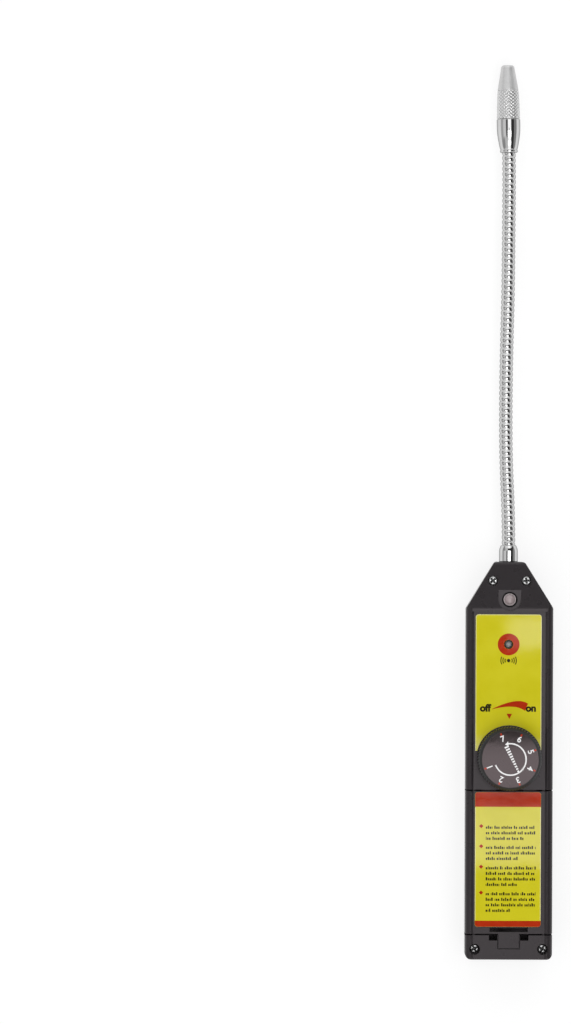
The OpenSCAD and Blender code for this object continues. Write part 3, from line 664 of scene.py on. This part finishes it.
# Pale strips along the door film's left and right edges: a painted highlight of its cut edges
edge_highlights = [bar((x, footer_y + EDGE_HIGHLIGHT_W), (x + EDGE_HIGHLIGHT_W, header_y - EDGE_HIGHLIGHT_W))
           for x in (left_x, right_x - EDGE_HIGHLIGHT_W)]
piece("door_edge_highlight", flat(edge_highlights, door_top_z, INK_T), "battery_door", edge_highlight_pale)
bands = [rounded_bar((left_x, header_y), (right_x, top_y), [0, 0, BAND_R, BAND_R]),
         rounded_bar((left_x, foot_y), (right_x, footer_y), [BAND_R, BAND_R, 0, 0])]

# Paragraphs as rows of small blocks: height of the first row, number of rows, and share of the last row
PARAGRAPHS = [(-29.35, 3, 0.76), (-38.2, 3, 0.68), (-47.2, 4, 0.62), (-58.6, 4, 0.50)]
ROW_STEP = 2.43
ROW_LEFT, ROW_RIGHT = -10.2, 11.8
WORDS = (4, 3, 6, 2, 5, 8, 3, 7, 2, 4, 6)
BLOCK_WIDTHS = (0.62, 0.5, 0.66, 0.3, 0.58, 0.64, 0.54)
BLOCK_HEIGHTS = (0.95, 1.4, 0.95, 0.95, 1.4, 0.95, 0.95, 0.95, 1.3)
BLOCK_BELOW = 0.475
BLOCK_GAP = 0.26
WORD_GAP = 0.85
# Places in the lists of blocks and words by which each row starts further on
BLOCK_SHIFT, WORD_SHIFT = 5, 3
BULLET_X = -12.25
BULLET_R = 0.95
BULLET_RISE = 0.7


def row_blocks(y, number, right):
    """Blocks of one row that stand for letters, in an order that differs from row to row."""
    blocks = []
    x = ROW_LEFT
    count = number * BLOCK_SHIFT
    turn = number * WORD_SHIFT
    foot = y - BLOCK_BELOW
    while x < right:
        for _ in range(WORDS[turn % len(WORDS)]):
            end = x + BLOCK_WIDTHS[count % len(BLOCK_WIDTHS)]
            if end > right:
                return blocks
            blocks.append(bar((x, foot), (end, foot + BLOCK_HEIGHTS[count % len(BLOCK_HEIGHTS)])))
            x = end + BLOCK_GAP
            count += 1
        x += WORD_GAP - BLOCK_GAP
        turn += 1
    return blocks


def bullet(y):
    """Diamond that stands before a paragraph."""
    return [(BULLET_X - BULLET_R, y), (BULLET_X, y - BULLET_R),
            (BULLET_X + BULLET_R, y), (BULLET_X, y + BULLET_R)]


blocks = []
row_number = 0
for first_y, rows, last_share in PARAGRAPHS:
    for row in range(rows):
        share = last_share if row == rows - 1 else 1.0
        row_right = ROW_LEFT + share * (ROW_RIGHT - ROW_LEFT)
        blocks += row_blocks(first_y - row * ROW_STEP, row_number, row_right)
        row_number += 1
bullets = [bullet(first_y + BULLET_RISE) for first_y, rows, last_share in PARAGRAPHS]
piece("door_print_red", joined([flat([shape], door_top_z, INK_T) for shape in bands + bullets]),
      "battery_door", ink_red)
piece("door_print_black", flat(blocks, door_top_z, INK_T), "battery_door", ink_black)


# Knob

RIBS = 66
RIB_STEPS = 6
RIB_DEPTH = 0.35
RIB_POWER = 1.5
KNOB_SKIN = 2.2
HUB_R = 5.0
SHAFT_R = 3.05
FOOT_IN, FOOT_UP = 0.36, 0.4
# A ring in the wall keeps its shading even
WALL_RING = 2.5
# Rounded shoulder, as (inward from the wall, drop from the top)
SHOULDER = [(0, 1.8), (0.37, 1.4), (0.85, 0.6), (1.4, 0.05)]
DIAL_SEAT = 0.2
dial_low, dial_high = box_mm("dial_plate")
dial_r = (dial_high.x - dial_low.x) / 2
upright = along_axis((*knob_centre, 0), UP)


def ribbed(radius, along, angle):
    """Radius with soft ribs, on the knob's outer wall alone."""
    if radius < knob_r - RIB_DEPTH:
        return radius
    return radius - RIB_DEPTH * (0.5 - 0.5 * math.cos(RIBS * angle)) ** RIB_POWER


base_z, top_z = knob_low.z, knob_high.z
roof_z = top_z - KNOB_SKIN
inner_r = knob_r - KNOB_SKIN
knob_profile = [
    (0, roof_z), (SHAFT_R, roof_z), (SHAFT_R, base_z), (HUB_R, base_z), (HUB_R, roof_z),
    (inner_r, roof_z), (inner_r, base_z), (knob_r - FOOT_IN, base_z), (knob_r, base_z + FOOT_UP),
    (knob_r, base_z + WALL_RING), *[(knob_r - inward, top_z - drop) for inward, drop in SHOULDER],
    (dial_r - DIAL_SEAT, top_z), (0, top_z),
]
piece("knob_body", turned(knob_profile, upright, RIBS * RIB_STEPS, radius_at=ribbed),
      "knob", knob_plastic, ["sensitivity_knob"])
painted("pot_shaft", pot_metal)

DISC_EDGE = 0.1
DISC_STEPS = 128
disc_profile = eased(
    [(0, dial_low.z), (dial_r, dial_low.z), (dial_r, dial_high.z), (0, dial_high.z)], DISC_EDGE)
piece("dial_disc", turned(disc_profile, upright, DISC_STEPS), "knob", dial_film, ["dial_plate"])

# Dial print: digits with red ticks, an arc that ends in an arrow, and a ramp of bars that shorten
DIGITS = 7
FIRST_DIGIT_DEG, DIGIT_STEP_DEG = 200.5, 45.0
DIGIT_R, DIGIT_SIZE, DIGIT_WEIGHT = 9.5, 3.7, 0.07
TICK_R, TICK_L, TICK_W = 11.6, 1.0, 0.7
ARC_R, ARC_W, ARC_STEPS = 6.9, 0.62, 96
ARC_START_DEG, ARC_END_DEG = 201.0, 457.0
ARROW_HALF_W, ARROW_FROM_DEG, ARROW_TO_DEG = 1.05, 0.2, 13.0
RAMP_FROM, RAMP_TO = Vector((-1.6, 5.4)), Vector((3.5, -5.2))
RAMP_BARS = 11
RAMP_HALF_H, RAMP_LOSS = 0.95, 0.055
RAMP_HALF_SHARE = 0.3


def on_dial(point):
    return (point[0] + knob_centre[0], point[1] + knob_centre[1])


def radial_bar(angle, low_r, high_r, width):
    """Short bar that points away from the dial's middle."""
    out = Vector((math.cos(angle), math.sin(angle)))
    side = Vector((-math.sin(angle), math.cos(angle))) * width / 2
    corners = [out * low_r - side, out * high_r - side, out * high_r + side, out * low_r + side]
    return [on_dial(corner) for corner in corners]


ticks, white_marks = [], []
for i in range(DIGITS):
    angle = math.radians(FIRST_DIGIT_DEG + i * DIGIT_STEP_DEG)
    ticks.append(radial_bar(angle, TICK_R - TICK_L / 2, TICK_R + TICK_L / 2, TICK_W))
    white_marks.append(word(str(i + 1), polar(knob_centre, DIGIT_R, angle), DIGIT_SIZE, angle - math.pi / 2,
                            dial_high.z, INK_T, DIGIT_WEIGHT))
white_shapes = [arc_band(knob_centre, ARC_R, ARC_W / 2, ARC_START_DEG, ARC_END_DEG, ARC_STEPS)]
arrow_corners = ((ARROW_HALF_W, ARROW_FROM_DEG), (-ARROW_HALF_W, ARROW_FROM_DEG), (0, ARROW_TO_DEG))
arrow = [polar(knob_centre, ARC_R + out, math.radians(ARC_END_DEG + past)) for out, past in arrow_corners]
white_shapes.append(arrow)
ramp_step = (RAMP_TO - RAMP_FROM) / (RAMP_BARS - 1)
ramp_side = Vector((-ramp_step.y, ramp_step.x)).normalized()
for i in range(RAMP_BARS):
    middle = RAMP_FROM + i * ramp_step
    half_h = ramp_side * (RAMP_HALF_H - RAMP_LOSS * i)
    half_w = ramp_step * RAMP_HALF_SHARE
    corners = ((1, 1), (1, -1), (-1, -1), (-1, 1))
    white_shapes.append([on_dial(middle + a * half_h + b * half_w) for a, b in corners])
white_marks += [flat([shape], dial_high.z, INK_T) for shape in white_shapes]
piece("dial_marks", joined(white_marks), "knob", ink_white)
red_ticks = joined([flat([tick], dial_high.z, INK_T) for tick in ticks])
piece("dial_ticks", red_ticks, "knob", ink_red)


# Probe

NECK_R = 3.0
# Turns of each piece of the winding
TURNS = 10.5
TURN_STEPS = 36
# Wound strip with a domed face: radius of the dome, share of the pitch that it covers, and thickness
DOME_R = 2.0
DOME_STEPS = 12
STRIP_SHARE = 0.97
STRIP_T = 1.0
WINDING_SHARP_DEG = 40.0


def winding(start, corner, end, number):
    """Mesh of a domed strip wound on a gentle curve from start past corner to end."""
    half_w = STRIP_SHARE * (end - start).length / TURNS / 2
    across_strip = [half_w * (2 * k / DOME_STEPS - 1) for k in range(DOME_STEPS + 1)]
    section = [(a, NECK_R - DOME_R + math.sqrt(DOME_R ** 2 - a ** 2)) for a in across_strip]
    section += [(half_w, NECK_R - STRIP_T), (-half_w, NECK_R - STRIP_T)]
    rings = []
    steps = int(TURNS * TURN_STEPS)
    for i in range(steps + 1):
        t = i / steps
        middle = quadratic(start, corner, end, t)
        ahead = ((1 - t) * (corner - start) + t * (end - corner)).normalized()
        angle = 2 * math.pi * TURNS * (number + t)
        out = ahead.cross(UP) * math.cos(angle) + UP * math.sin(angle)
        rings.append([middle + out * r + ahead * a for a, r in section])
    work = bmesh.new()
    bridge(work, rings, caps=True)
    return mesh_of(work, WINDING_SHARP_DEG)


BEND_COUNT = 7
BENDS = [f"neck_bend_{k + 1}" for k in range(BEND_COUNT)]
NECK_NODES = ["neck_root"] + [f"neck_section_{k}" for k in range(1, BEND_COUNT)] + ["neck_end"]
pivots = [Vector(JOINTS[name]["pos_m"]) / MM for name in BENDS]
tip_base = Vector(JOINTS["tip_unscrew"]["pos_m"]) / MM
ferrule_low, ferrule_high = box_mm("neck_ferrule")
neck_base = Vector((pivots[0].x, ferrule_high.y, pivots[0].z))
ends = [neck_base] + [(a + b) / 2 for a, b in zip(pivots, pivots[1:])] + [tip_base]
for k, (name, pivot) in enumerate(zip(BENDS, pivots)):
    stands_for = NECK_NODES[:2] if k == 0 else NECK_NODES[k + 1 : k + 2]
    wound = winding(ends[k], pivot, ends[k + 1], k)
    made = piece(f"neck_winding_{k + 1}", wound, None, chrome, stands_for)
    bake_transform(made)

# Ferrule: a shank through the end wall and a collar that tapers to the neck's seat
COLLAR_L = 7.3
COLLAR_EDGE = 0.35
TAPER_L, TAPER_BEND_L, TAPER_IN = 2.4, 1.4, 0.2
MOUTH_WALL = 0.4
SHANK_R = 3.4
BORE_R = 1.3
SEAT_R, SEAT_L = 2.35, 5.3
ferrule_r = (ferrule_high.x - ferrule_low.x) / 2
shank_y, mouth_y = ferrule_low.y, ferrule_high.y
collar_y = mouth_y - COLLAR_L
ferrule_profile = eased([
    (BORE_R, shank_y), (SHANK_R, shank_y), (SHANK_R, collar_y), (ferrule_r, collar_y),
    (ferrule_r, mouth_y - TAPER_L), (ferrule_r - TAPER_IN, mouth_y - TAPER_BEND_L),
    (NECK_R + MOUTH_WALL, mouth_y), (SEAT_R, mouth_y), (SEAT_R, mouth_y - SEAT_L), (BORE_R, mouth_y - SEAT_L),
], COLLAR_EDGE, loop=True)
on_neck_axis = Matrix.Translation((neck_base.x, 0, neck_base.z))
piece("ferrule", turned(ferrule_profile, on_neck_axis, loop=True), "housing", chrome,
      ["neck_ferrule"])
painted("neck_nut", nut_brass)


# Sensor tip

# Socket: a lip, a flare, and a shank that takes the tip's thread
TIP_R = 5.2
TIP_STEPS = 128
SOCKET_L = 14.8
LIP_R, LIP_L = 3.9, 1.2
LIP_BEVEL, LIP_EDGE = 0.3, 0.25
# Groove between lip and flare, as (inward, along from the lip's end)
LIP_GROOVE = [(0, -0.15), (0.22, 0.1), (0.05, 0.4)]
FLARE_GAP, FLARE_L = 0.3, 10.1
FLARE_STEPS = 10
RIM_L, RIM_BEVEL = 2.4, 0.2
THREAD_R, THREAD_L = 3.4, 6.0
SHANK_EDGE = 0.2
on_tip = along_axis(tip_base, JOINTS["tip_unscrew"]["axis"])
thread_end = SOCKET_L + THREAD_L


def flare_point(share):
    """Radius and distance at a share of the flare, which swells like a quarter of a wave."""
    return (LIP_R + (TIP_R - LIP_R) * math.sin(math.pi / 2 * share), LIP_L + FLARE_GAP + FLARE_L * share)


lip = eased([
    (SEAT_R, 0), (LIP_R - LIP_BEVEL, 0), (LIP_R, LIP_BEVEL),
    *[(LIP_R - inward, LIP_L + along) for inward, along in LIP_GROOVE],
], LIP_EDGE)
flare = [flare_point(i / FLARE_STEPS) for i in range(1, FLARE_STEPS + 1)]
shank = eased([
    (TIP_R, SOCKET_L - RIM_L), (TIP_R, SOCKET_L - RIM_BEVEL), (TIP_R - RIM_BEVEL, SOCKET_L),
    (THREAD_R, SOCKET_L), (THREAD_R, thread_end), (BORE_R, thread_end), (BORE_R, SEAT_L), (SEAT_R, SEAT_L),
], SHANK_EDGE)
piece("socket", turned(lip + flare + shank, on_tip, TIP_STEPS, loop=True),
      "neck_7", chrome, ["tip_socket"])

# Knurled band: crossed grooves on a barrel-shaped sleeve, with plain stretches at its foot and head
TIP_GAP, TIP_STEP = 0.05, 0.05
KNURL_R = TIP_R - TIP_STEP
KNURL_L = 13.0
KNURLS, KNURL_STEPS = 22, 8
KNURL_DEPTH = 0.23
KNURL_TAPER = 0.45
KNURL_WALL = 1.1
KNURL_FOOT, KNURL_HEAD = 0.3, 0.6
BAND_FOOT, BAND_HEAD = 0.1, 0.35
BAND_BEVEL = 0.3
tip_foot = SOCKET_L + TIP_GAP
knurl_top = tip_foot + KNURL_L
knurl_pitch = 2 * math.pi * KNURL_R / KNURLS
inside_r = KNURL_R - KNURL_WALL
nose_base_r = KNURL_R - KNURL_TAPER


def triangle_wave(x):
    """Wave between 0 at whole numbers and 1 halfway."""
    return 1 - 2 * abs(x - math.floor(x) - 0.5)


def knurled(radius, along, angle):
    """Radius with crossed grooves that leave small pyramids, on the barrel-shaped outer face alone."""
    if radius != KNURL_R:
        return radius
    turn = KNURLS * angle / (2 * math.pi)
    climb = (along - tip_foot) / knurl_pitch
    peak = min(triangle_wave(turn + climb), triangle_wave(turn - climb))
    return radius - KNURL_TAPER * ((along - tip_foot) / KNURL_L) ** 2 - KNURL_DEPTH * (1 - peak)


knurl_l = KNURL_L - KNURL_FOOT - KNURL_HEAD
knurl_rings = int(knurl_l / knurl_pitch * KNURL_STEPS)
band = [(KNURL_R, tip_foot + KNURL_FOOT + knurl_l * i / knurl_rings) for i in range(knurl_rings + 1)]
band_profile = [
    (inside_r, tip_foot + BAND_FOOT), (KNURL_R - BAND_BEVEL, tip_foot + BAND_FOOT), *band,
    (nose_base_r - BAND_BEVEL, knurl_top - BAND_HEAD), (inside_r, knurl_top - BAND_HEAD),
]
piece("tip_knurl", turned(band_profile, on_tip, KNURLS * KNURL_STEPS, loop=True, radius_at=knurled),
      "tip", knurl_nickel)

# Nose with a chamber between the thread and the air inlet
NOSE_L, NOSE_R = 10.9, 2.9
NOSE_EDGE = 0.3
# Ledge over the band, as (inward from the nose's base, along from the band's top)
NOSE_LEDGE = [(0.15, -0.3), (0.1, 0)]
LEDGE_BELOW = 0.4
# Rounded mouth, as (inward, back from the tip's end)
NOSE_MOUTH = [(0, 0.9), (0.35, 0.25), (0.95, 0)]
INLET_R = 1.5
CHAMBER_R = 2.7
CHAMBER_FOOT, CHAMBER_TOP = 0.3, 10.0
THREAD_PLAY = 0.05
tip_end = knurl_top + NOSE_L
thread_top = tip_foot + THREAD_L
thread_bore_r = THREAD_R + THREAD_PLAY
nose_profile = eased([
    (inside_r, tip_foot), (inside_r, knurl_top - LEDGE_BELOW),
    *[(nose_base_r - inward, knurl_top + along) for inward, along in NOSE_LEDGE],
    *[(NOSE_R - inward, tip_end - back) for inward, back in NOSE_MOUTH],
    (INLET_R, tip_end), (INLET_R, thread_top + CHAMBER_TOP), (CHAMBER_R, thread_top + CHAMBER_TOP),
    (CHAMBER_R, thread_top + CHAMBER_FOOT), (thread_bore_r, thread_top + CHAMBER_FOOT),
    (thread_bore_r, tip_foot),
], NOSE_EDGE, loop=True)
piece("tip_nose", turned(nose_profile, on_tip, TIP_STEPS, loop=True),
      "tip", satin_nickel, ["sensor_tip"])
painted("sensor_insulator", sensor_ceramic)
painted("sensor_needle", contact_steel)


# Inside

INSIDE_FINISHES = {
    "circuit_board": board_green,
    "board_screws": screw_steel,
    "buzzer": component_black,
    "pot_case": pot_metal,
    "control_chip": component_black,
    "transformer": coil_amber,
    "capacitors": capacitor_sleeve,
}
CONTACT_EDGE = 0.08
for node, finish in INSIDE_FINISHES.items():
    painted(node, finish)
for node in ("positive_contact", "negative_contact", "bridge_contact"):
    dressed(node, contact_steel, CONTACT_EDGE)

# Cells: foot of the can as (radius, up), rolled edges as (inward, up or down), head as (radius, down)
BUTTON_R, BUTTON_L = 2.75, 1.5
BUTTON_BEVEL, BUTTON_FILLET = 0.35, 0.25
CAN_FOOT = [(0, 0.25), (4.2, 0.25), (4.6, 0)]
FOOT_ROLL = [(0.6, 0), (0, 0.5)]
HEAD_ROLL = [(0, 0.7), (0.7, 0.1)]
CAN_HEAD = [(5.2, 0), (4.8, 0.35), (BUTTON_R + BUTTON_FILLET, 0.3), (BUTTON_R, 0)]
CAN_EDGE = 0.3
SLEEVE_T, SLEEVE_LAP = 0.15, 0.1
SLEEVE_FOOT, SLEEVE_HEAD = 0.45, 0.6
SLEEVE_BEVEL, SLEEVE_EDGE, SLEEVE_EDGE_STEPS = 0.12, 0.1, 2
CELL_BAND_SHARE = 0.26


def battery(node, up):
    """A cell with a rolled can, a sleeve and a plain band, its button towards +Y or -Y; gives its foot."""
    low, high = box_mm(node)
    r = (high.x - low.x) / 2
    length = high.y - low.y
    can_l = length - BUTTON_L
    can_r = r - SLEEVE_T
    start = ((low.x + high.x) / 2, low.y if up > 0 else high.y, (low.z + high.z) / 2)
    place = along_axis(start, (0, up, 0))
    can = eased([
        *CAN_FOOT,
        *[(can_r - inward, rise) for inward, rise in FOOT_ROLL],
        *[(can_r - inward, can_l - drop) for inward, drop in HEAD_ROLL],
        *[(radius, can_l - drop) for radius, drop in CAN_HEAD],
        (BUTTON_R, length - BUTTON_BEVEL), (BUTTON_R - BUTTON_BEVEL, length), (0, length),
    ], CAN_EDGE)
    piece(node + "_can", turned(can, place), "housing", cell_can, [node])
    split = can_l * (1 - CELL_BAND_SHARE)
    inner_r = can_r - SLEEVE_LAP
    films = (("_sleeve", cell_sleeve, SLEEVE_FOOT, split), ("_band", cell_band, split, can_l - SLEEVE_HEAD))
    for name, finish, foot, end in films:
        tube = eased([
            (can_r, foot), (r, foot + SLEEVE_BEVEL), (r, end - SLEEVE_BEVEL),
            (can_r, end), (inner_r, end), (inner_r, foot),
        ], SLEEVE_EDGE, SLEEVE_EDGE_STEPS, loop=True)
        piece(node + name, turned(tube, place, loop=True), "housing", finish)
    return start


left_start = battery("battery_cell_left", 1)
right_start = battery("battery_cell_right", -1)

# Springs: shares of the wire that lie in the closed first turn and in the rise
COIL_TURNS = 3.75
COIL_STEPS, COIL_SIDES = 32, 10
COIL_WIRE_R = 0.4
COIL_FOOT_R, COIL_HEAD_R = 4.4, 3.0
COIL_CLOSED_SHARE, COIL_RISE_SHARE = 0.18, 0.68


def coil(work, foot, height):
    """Tapered spring that stands on foot along Y, its first and last turns closed."""
    rings = []
    steps = int(COIL_TURNS * COIL_STEPS)
    up = math.copysign(1, height)
    for i in range(steps + 1):
        t = i / steps
        rise = min(max((t - COIL_CLOSED_SHARE) / COIL_RISE_SHARE, 0), 1)
        angle = 2 * math.pi * COIL_TURNS * t
        out = Vector((math.cos(angle), 0, math.sin(angle)))
        middle = foot + out * (COIL_FOOT_R + (COIL_HEAD_R - COIL_FOOT_R) * t)
        middle.y += up * COIL_WIRE_R + rise * (height - 2 * up * COIL_WIRE_R)
        rings.append([middle + COIL_WIRE_R * (out * math.cos(b) + Vector((0, math.sin(b), 0)))
                      for b in round_angles(COIL_SIDES)])
    bridge(work, rings, caps=True)


springs_low, springs_high = box_mm("contact_springs")
coils = bmesh.new()
for (x, y, z), spring_y in ((left_start, springs_low.y), (right_start, springs_high.y)):
    coil(coils, Vector((x, spring_y, z)), y - spring_y)
piece("contact_coils", mesh_of(coils), "housing", contact_steel, ["contact_springs"])


# Studio

# Sizes and places of the studio are in metres, apart from the grain of the paper
FLOOR_HALF = 8.0
FLOOR_Z = -0.0002
PAPER_GRAIN = 40.0
PAPER_DARK, PAPER_LIGHT = grey(0.22), grey(0.235)
PAPER_ROUGH = (0.9, 1.0)
PAPER_GLOW = 0.79
floor_mesh = bpy.data.meshes.new("floor")
floor_corners = [(x, y, FLOOR_Z) for x, y in bar((-FLOOR_HALF, -FLOOR_HALF), (FLOOR_HALF, FLOOR_HALF))]
floor_mesh.from_pydata(floor_corners, [], [(0, 1, 2, 3)])
floor = bpy.data.objects.new("floor", floor_mesh)
bpy.context.scene.collection.objects.link(floor)


def add_white(finish, strength):
    """Lifts a pale finish to white for the camera, and for what mirrors and glass show."""
    path = finish.nodes.new("ShaderNodeLightPath")
    seen = path.outputs["Is Camera Ray"]
    for ray in ("Is Glossy Ray", "Is Transmission Ray"):
        either = finish.nodes.new("ShaderNodeMath")
        either.operation = "MAXIMUM"
        finish.links.new(seen, either.inputs[0])
        finish.links.new(path.outputs[ray], either.inputs[1])
        seen = either.outputs[0]
    level = finish.nodes.new("ShaderNodeMath")
    level.operation = "MULTIPLY"
    level.inputs[1].default_value = strength
    finish.links.new(seen, level.inputs[0])
    finish.links.new(level.outputs[0], finish.shader.inputs["Emission Strength"])


floor_paper = Finish("floor_paper", Specular_IOR_Level=0.0, Emission_Color=(1, 1, 1, 1))
paper_grain = floor_paper.noise(PAPER_GRAIN)
floor_paper.tones(paper_grain, PAPER_DARK, PAPER_LIGHT)
floor_paper.roughness(paper_grain, *PAPER_ROUGH)
add_white(floor_paper, PAPER_GLOW)
floor_mesh.materials.append(floor_paper.material)

# Lamps by what shows their glare, as their low and high corner in x and y
LAMPS = {
    "over_probe": ((-0.19, 0.045), (0.50, 0.22)),
    "over_door": ((-0.19, -0.139), (0.50, -0.0950)),
    "over_knob": ((-0.19, -0.0885), (0.50, -0.0505)),
    "over_label": ((0.058, 0.014), (0.30, 0.036)),
}
LAMP_Z = 1.2
LAMP_RADIANCE = 2.8
FILL_AT = (0, 0.1, 1.8)
FILL_SIZE = (2.4, 2.4)
FILL_RADIANCE = 0.5


def softbox(name, centre, size, radiance):
    """Rectangular lamp that faces straight down, with an even glow."""
    lamp = bpy.data.lights.new(name, "AREA")
    lamp.shape = "RECTANGLE"
    lamp.size, lamp.size_y = size
    lamp.energy = radiance * math.pi * size[0] * size[1]
    made = bpy.data.objects.new(name, lamp)
    made.location = centre
    made.visible_camera = False
    bpy.context.scene.collection.objects.link(made)
    return made


for name, (low, high) in LAMPS.items():
    size = [b - a for a, b in zip(low, high)]
    softbox(name, (*middle_xy(low, high), LAMP_Z), size, LAMP_RADIANCE)
fill = softbox("fill", FILL_AT, FILL_SIZE, FILL_RADIANCE)
fill.visible_glossy = False

# The room round the lamps: white strips and dark slots overhead, pale walls to the front, back and sides
world = bpy.data.worlds.new("studio")
bpy.context.scene.world = world
world.use_nodes = True
sky = world.node_tree
axes = sky.nodes.new("ShaderNodeSeparateXYZ")
sky.links.new(sky.nodes.new("ShaderNodeTexCoord").outputs["Generated"], axes.inputs["Vector"])


def sky_place(axis):
    """Place along an axis of the room, from 0 at its lower end to 1 at its upper one."""
    place = sky.nodes.new("ShaderNodeMapRange")
    place.inputs["From Min"].default_value = -1.0
    sky.links.new(axes.outputs[axis], place.inputs["Value"])
    return place.outputs["Result"]


def sky_ramp(factor, stops):
    """Grey levels over a factor, as (position, level) pairs."""
    ramp = sky.nodes.new("ShaderNodeValToRGB")
    elements = ramp.color_ramp.elements
    while len(elements) < len(stops):
        elements.new(1.0)
    for element, (position, level) in zip(elements, stops):
        element.position = position
        element.color = (*grey(level), 1)
    sky.links.new(factor, ramp.inputs["Fac"])
    return ramp.outputs["Color"]


def sky_mix(factor, a, b):
    """Mix of two colours, each a socket or a grey level."""
    mix = sky.nodes.new("ShaderNodeMixRGB")
    sky.links.new(factor, mix.inputs["Fac"])
    for socket, source in (("Color1", a), ("Color2", b)):
        if isinstance(source, float):
            mix.inputs[socket].default_value = (*grey(source), 1)
        else:
            sky.links.new(source, mix.inputs[socket])
    return mix.outputs["Color"]


BAND_BLUR = 0.02
across_room = sky_place("X")
along_room = sky_place("Y")
from_middle = sky.nodes.new("ShaderNodeMath")
from_middle.operation = "ABSOLUTE"
sky.links.new(axes.outputs["Y"], from_middle.inputs[0])


def sky_bands(levels):
    """Bands of grey from the left to the right of the room, as (where the band ends, level) pairs."""
    stops = []
    start = -1.0
    for end, level in levels:
        stops += [((start + BAND_BLUR + 1) / 2, level), ((end - BAND_BLUR + 1) / 2, level)]
        start = end
    return sky_ramp(across_room, stops)


def sky_between(low, high, blur):
    """One between two places from the front to the back of the room, and nothing elsewhere."""
    stops = ((low - blur, 0.0), (low + blur, 1.0), (high - blur, 1.0), (high + blur, 0.0))
    return sky_ramp(along_room, [((place + 1) / 2, level) for place, level in stops])


# Bands as (where the band ends, level), and stretches from the front to the back of the room where they hold
STRIP_LEVEL, SLOT_LEVEL = 1.5, 0.04
STRIP_BAND = [(0.38, STRIP_LEVEL)]
SPLIT_STRIP_BANDS = [(0.0, STRIP_LEVEL), (0.11, SLOT_LEVEL), *STRIP_BAND]
LEFT_OVERHEAD = [(-0.84, 0.5), (-0.48, 0.8), (-0.16, 0.12)]
LEFT_BESIDE = [(-0.66, 0.35), (-0.16, 0.7)]
LEFT_WALL = [(-0.84, 0.6), (-0.16, 1.0)]
RIGHT_SLOT = [(0.80, SLOT_LEVEL), (1.0, 0.3)]
RIGHT_WALL = [(0.72, 1.0), (1.0, 0.5)]
OVER_FILMS = (-0.18, 0.02, 0.01)
OVER_SLOPE = (0.27, 0.57, 0.02)
AWAY = [(0.16, 0.0), (0.22, 1.0)]
FAR_AWAY = [(0.60, 0.0), (0.66, 1.0)]
LOW_DOWN = [(0.08, 1.0), (0.16, 0.0)]
LOW_LEVEL = 0.9
CAMERA_LEVEL = 1.0
overhead = sky_bands(LEFT_OVERHEAD + STRIP_BAND + RIGHT_SLOT)
over_films = sky_bands(LEFT_OVERHEAD + SPLIT_STRIP_BANDS + RIGHT_SLOT)
beside = sky_bands(LEFT_BESIDE + STRIP_BAND + RIGHT_SLOT)
over_slope = sky_bands(LEFT_BESIDE + RIGHT_SLOT)
walls = sky_bands(LEFT_WALL + STRIP_BAND + RIGHT_WALL)
overhead = sky_mix(sky_between(*OVER_FILMS), overhead, over_films)
beside = sky_mix(sky_between(*OVER_SLOPE), beside, over_slope)
room = sky_mix(sky_ramp(from_middle.outputs[0], AWAY), overhead, beside)
room = sky_mix(sky_ramp(from_middle.outputs[0], FAR_AWAY), room, walls)
room = sky_mix(sky_ramp(axes.outputs["Z"], LOW_DOWN), room, LOW_LEVEL)
room = sky_mix(sky.nodes.new("ShaderNodeLightPath").outputs["Is Camera Ray"], room, CAMERA_LEVEL)
sky.links.new(room, sky.nodes["Background"].inputs["Color"])

CAMERA = (-0.09889, 0.10918, 2.0)
CAMERA_ROLL_DEG = 0.22
LENS_MM = 157.8
SENSOR_MM = 36.0
eye = bpy.data.cameras.new("camera")
eye.lens = LENS_MM
eye.sensor_width = SENSOR_MM
camera = bpy.data.objects.new("camera", eye)
camera.location = CAMERA
camera.rotation_euler = (0, 0, math.radians(CAMERA_ROLL_DEG))
bpy.context.scene.collection.objects.link(camera)
bpy.context.scene.camera = camera
bpy.context.scene.view_settings.view_transform = "Standard"
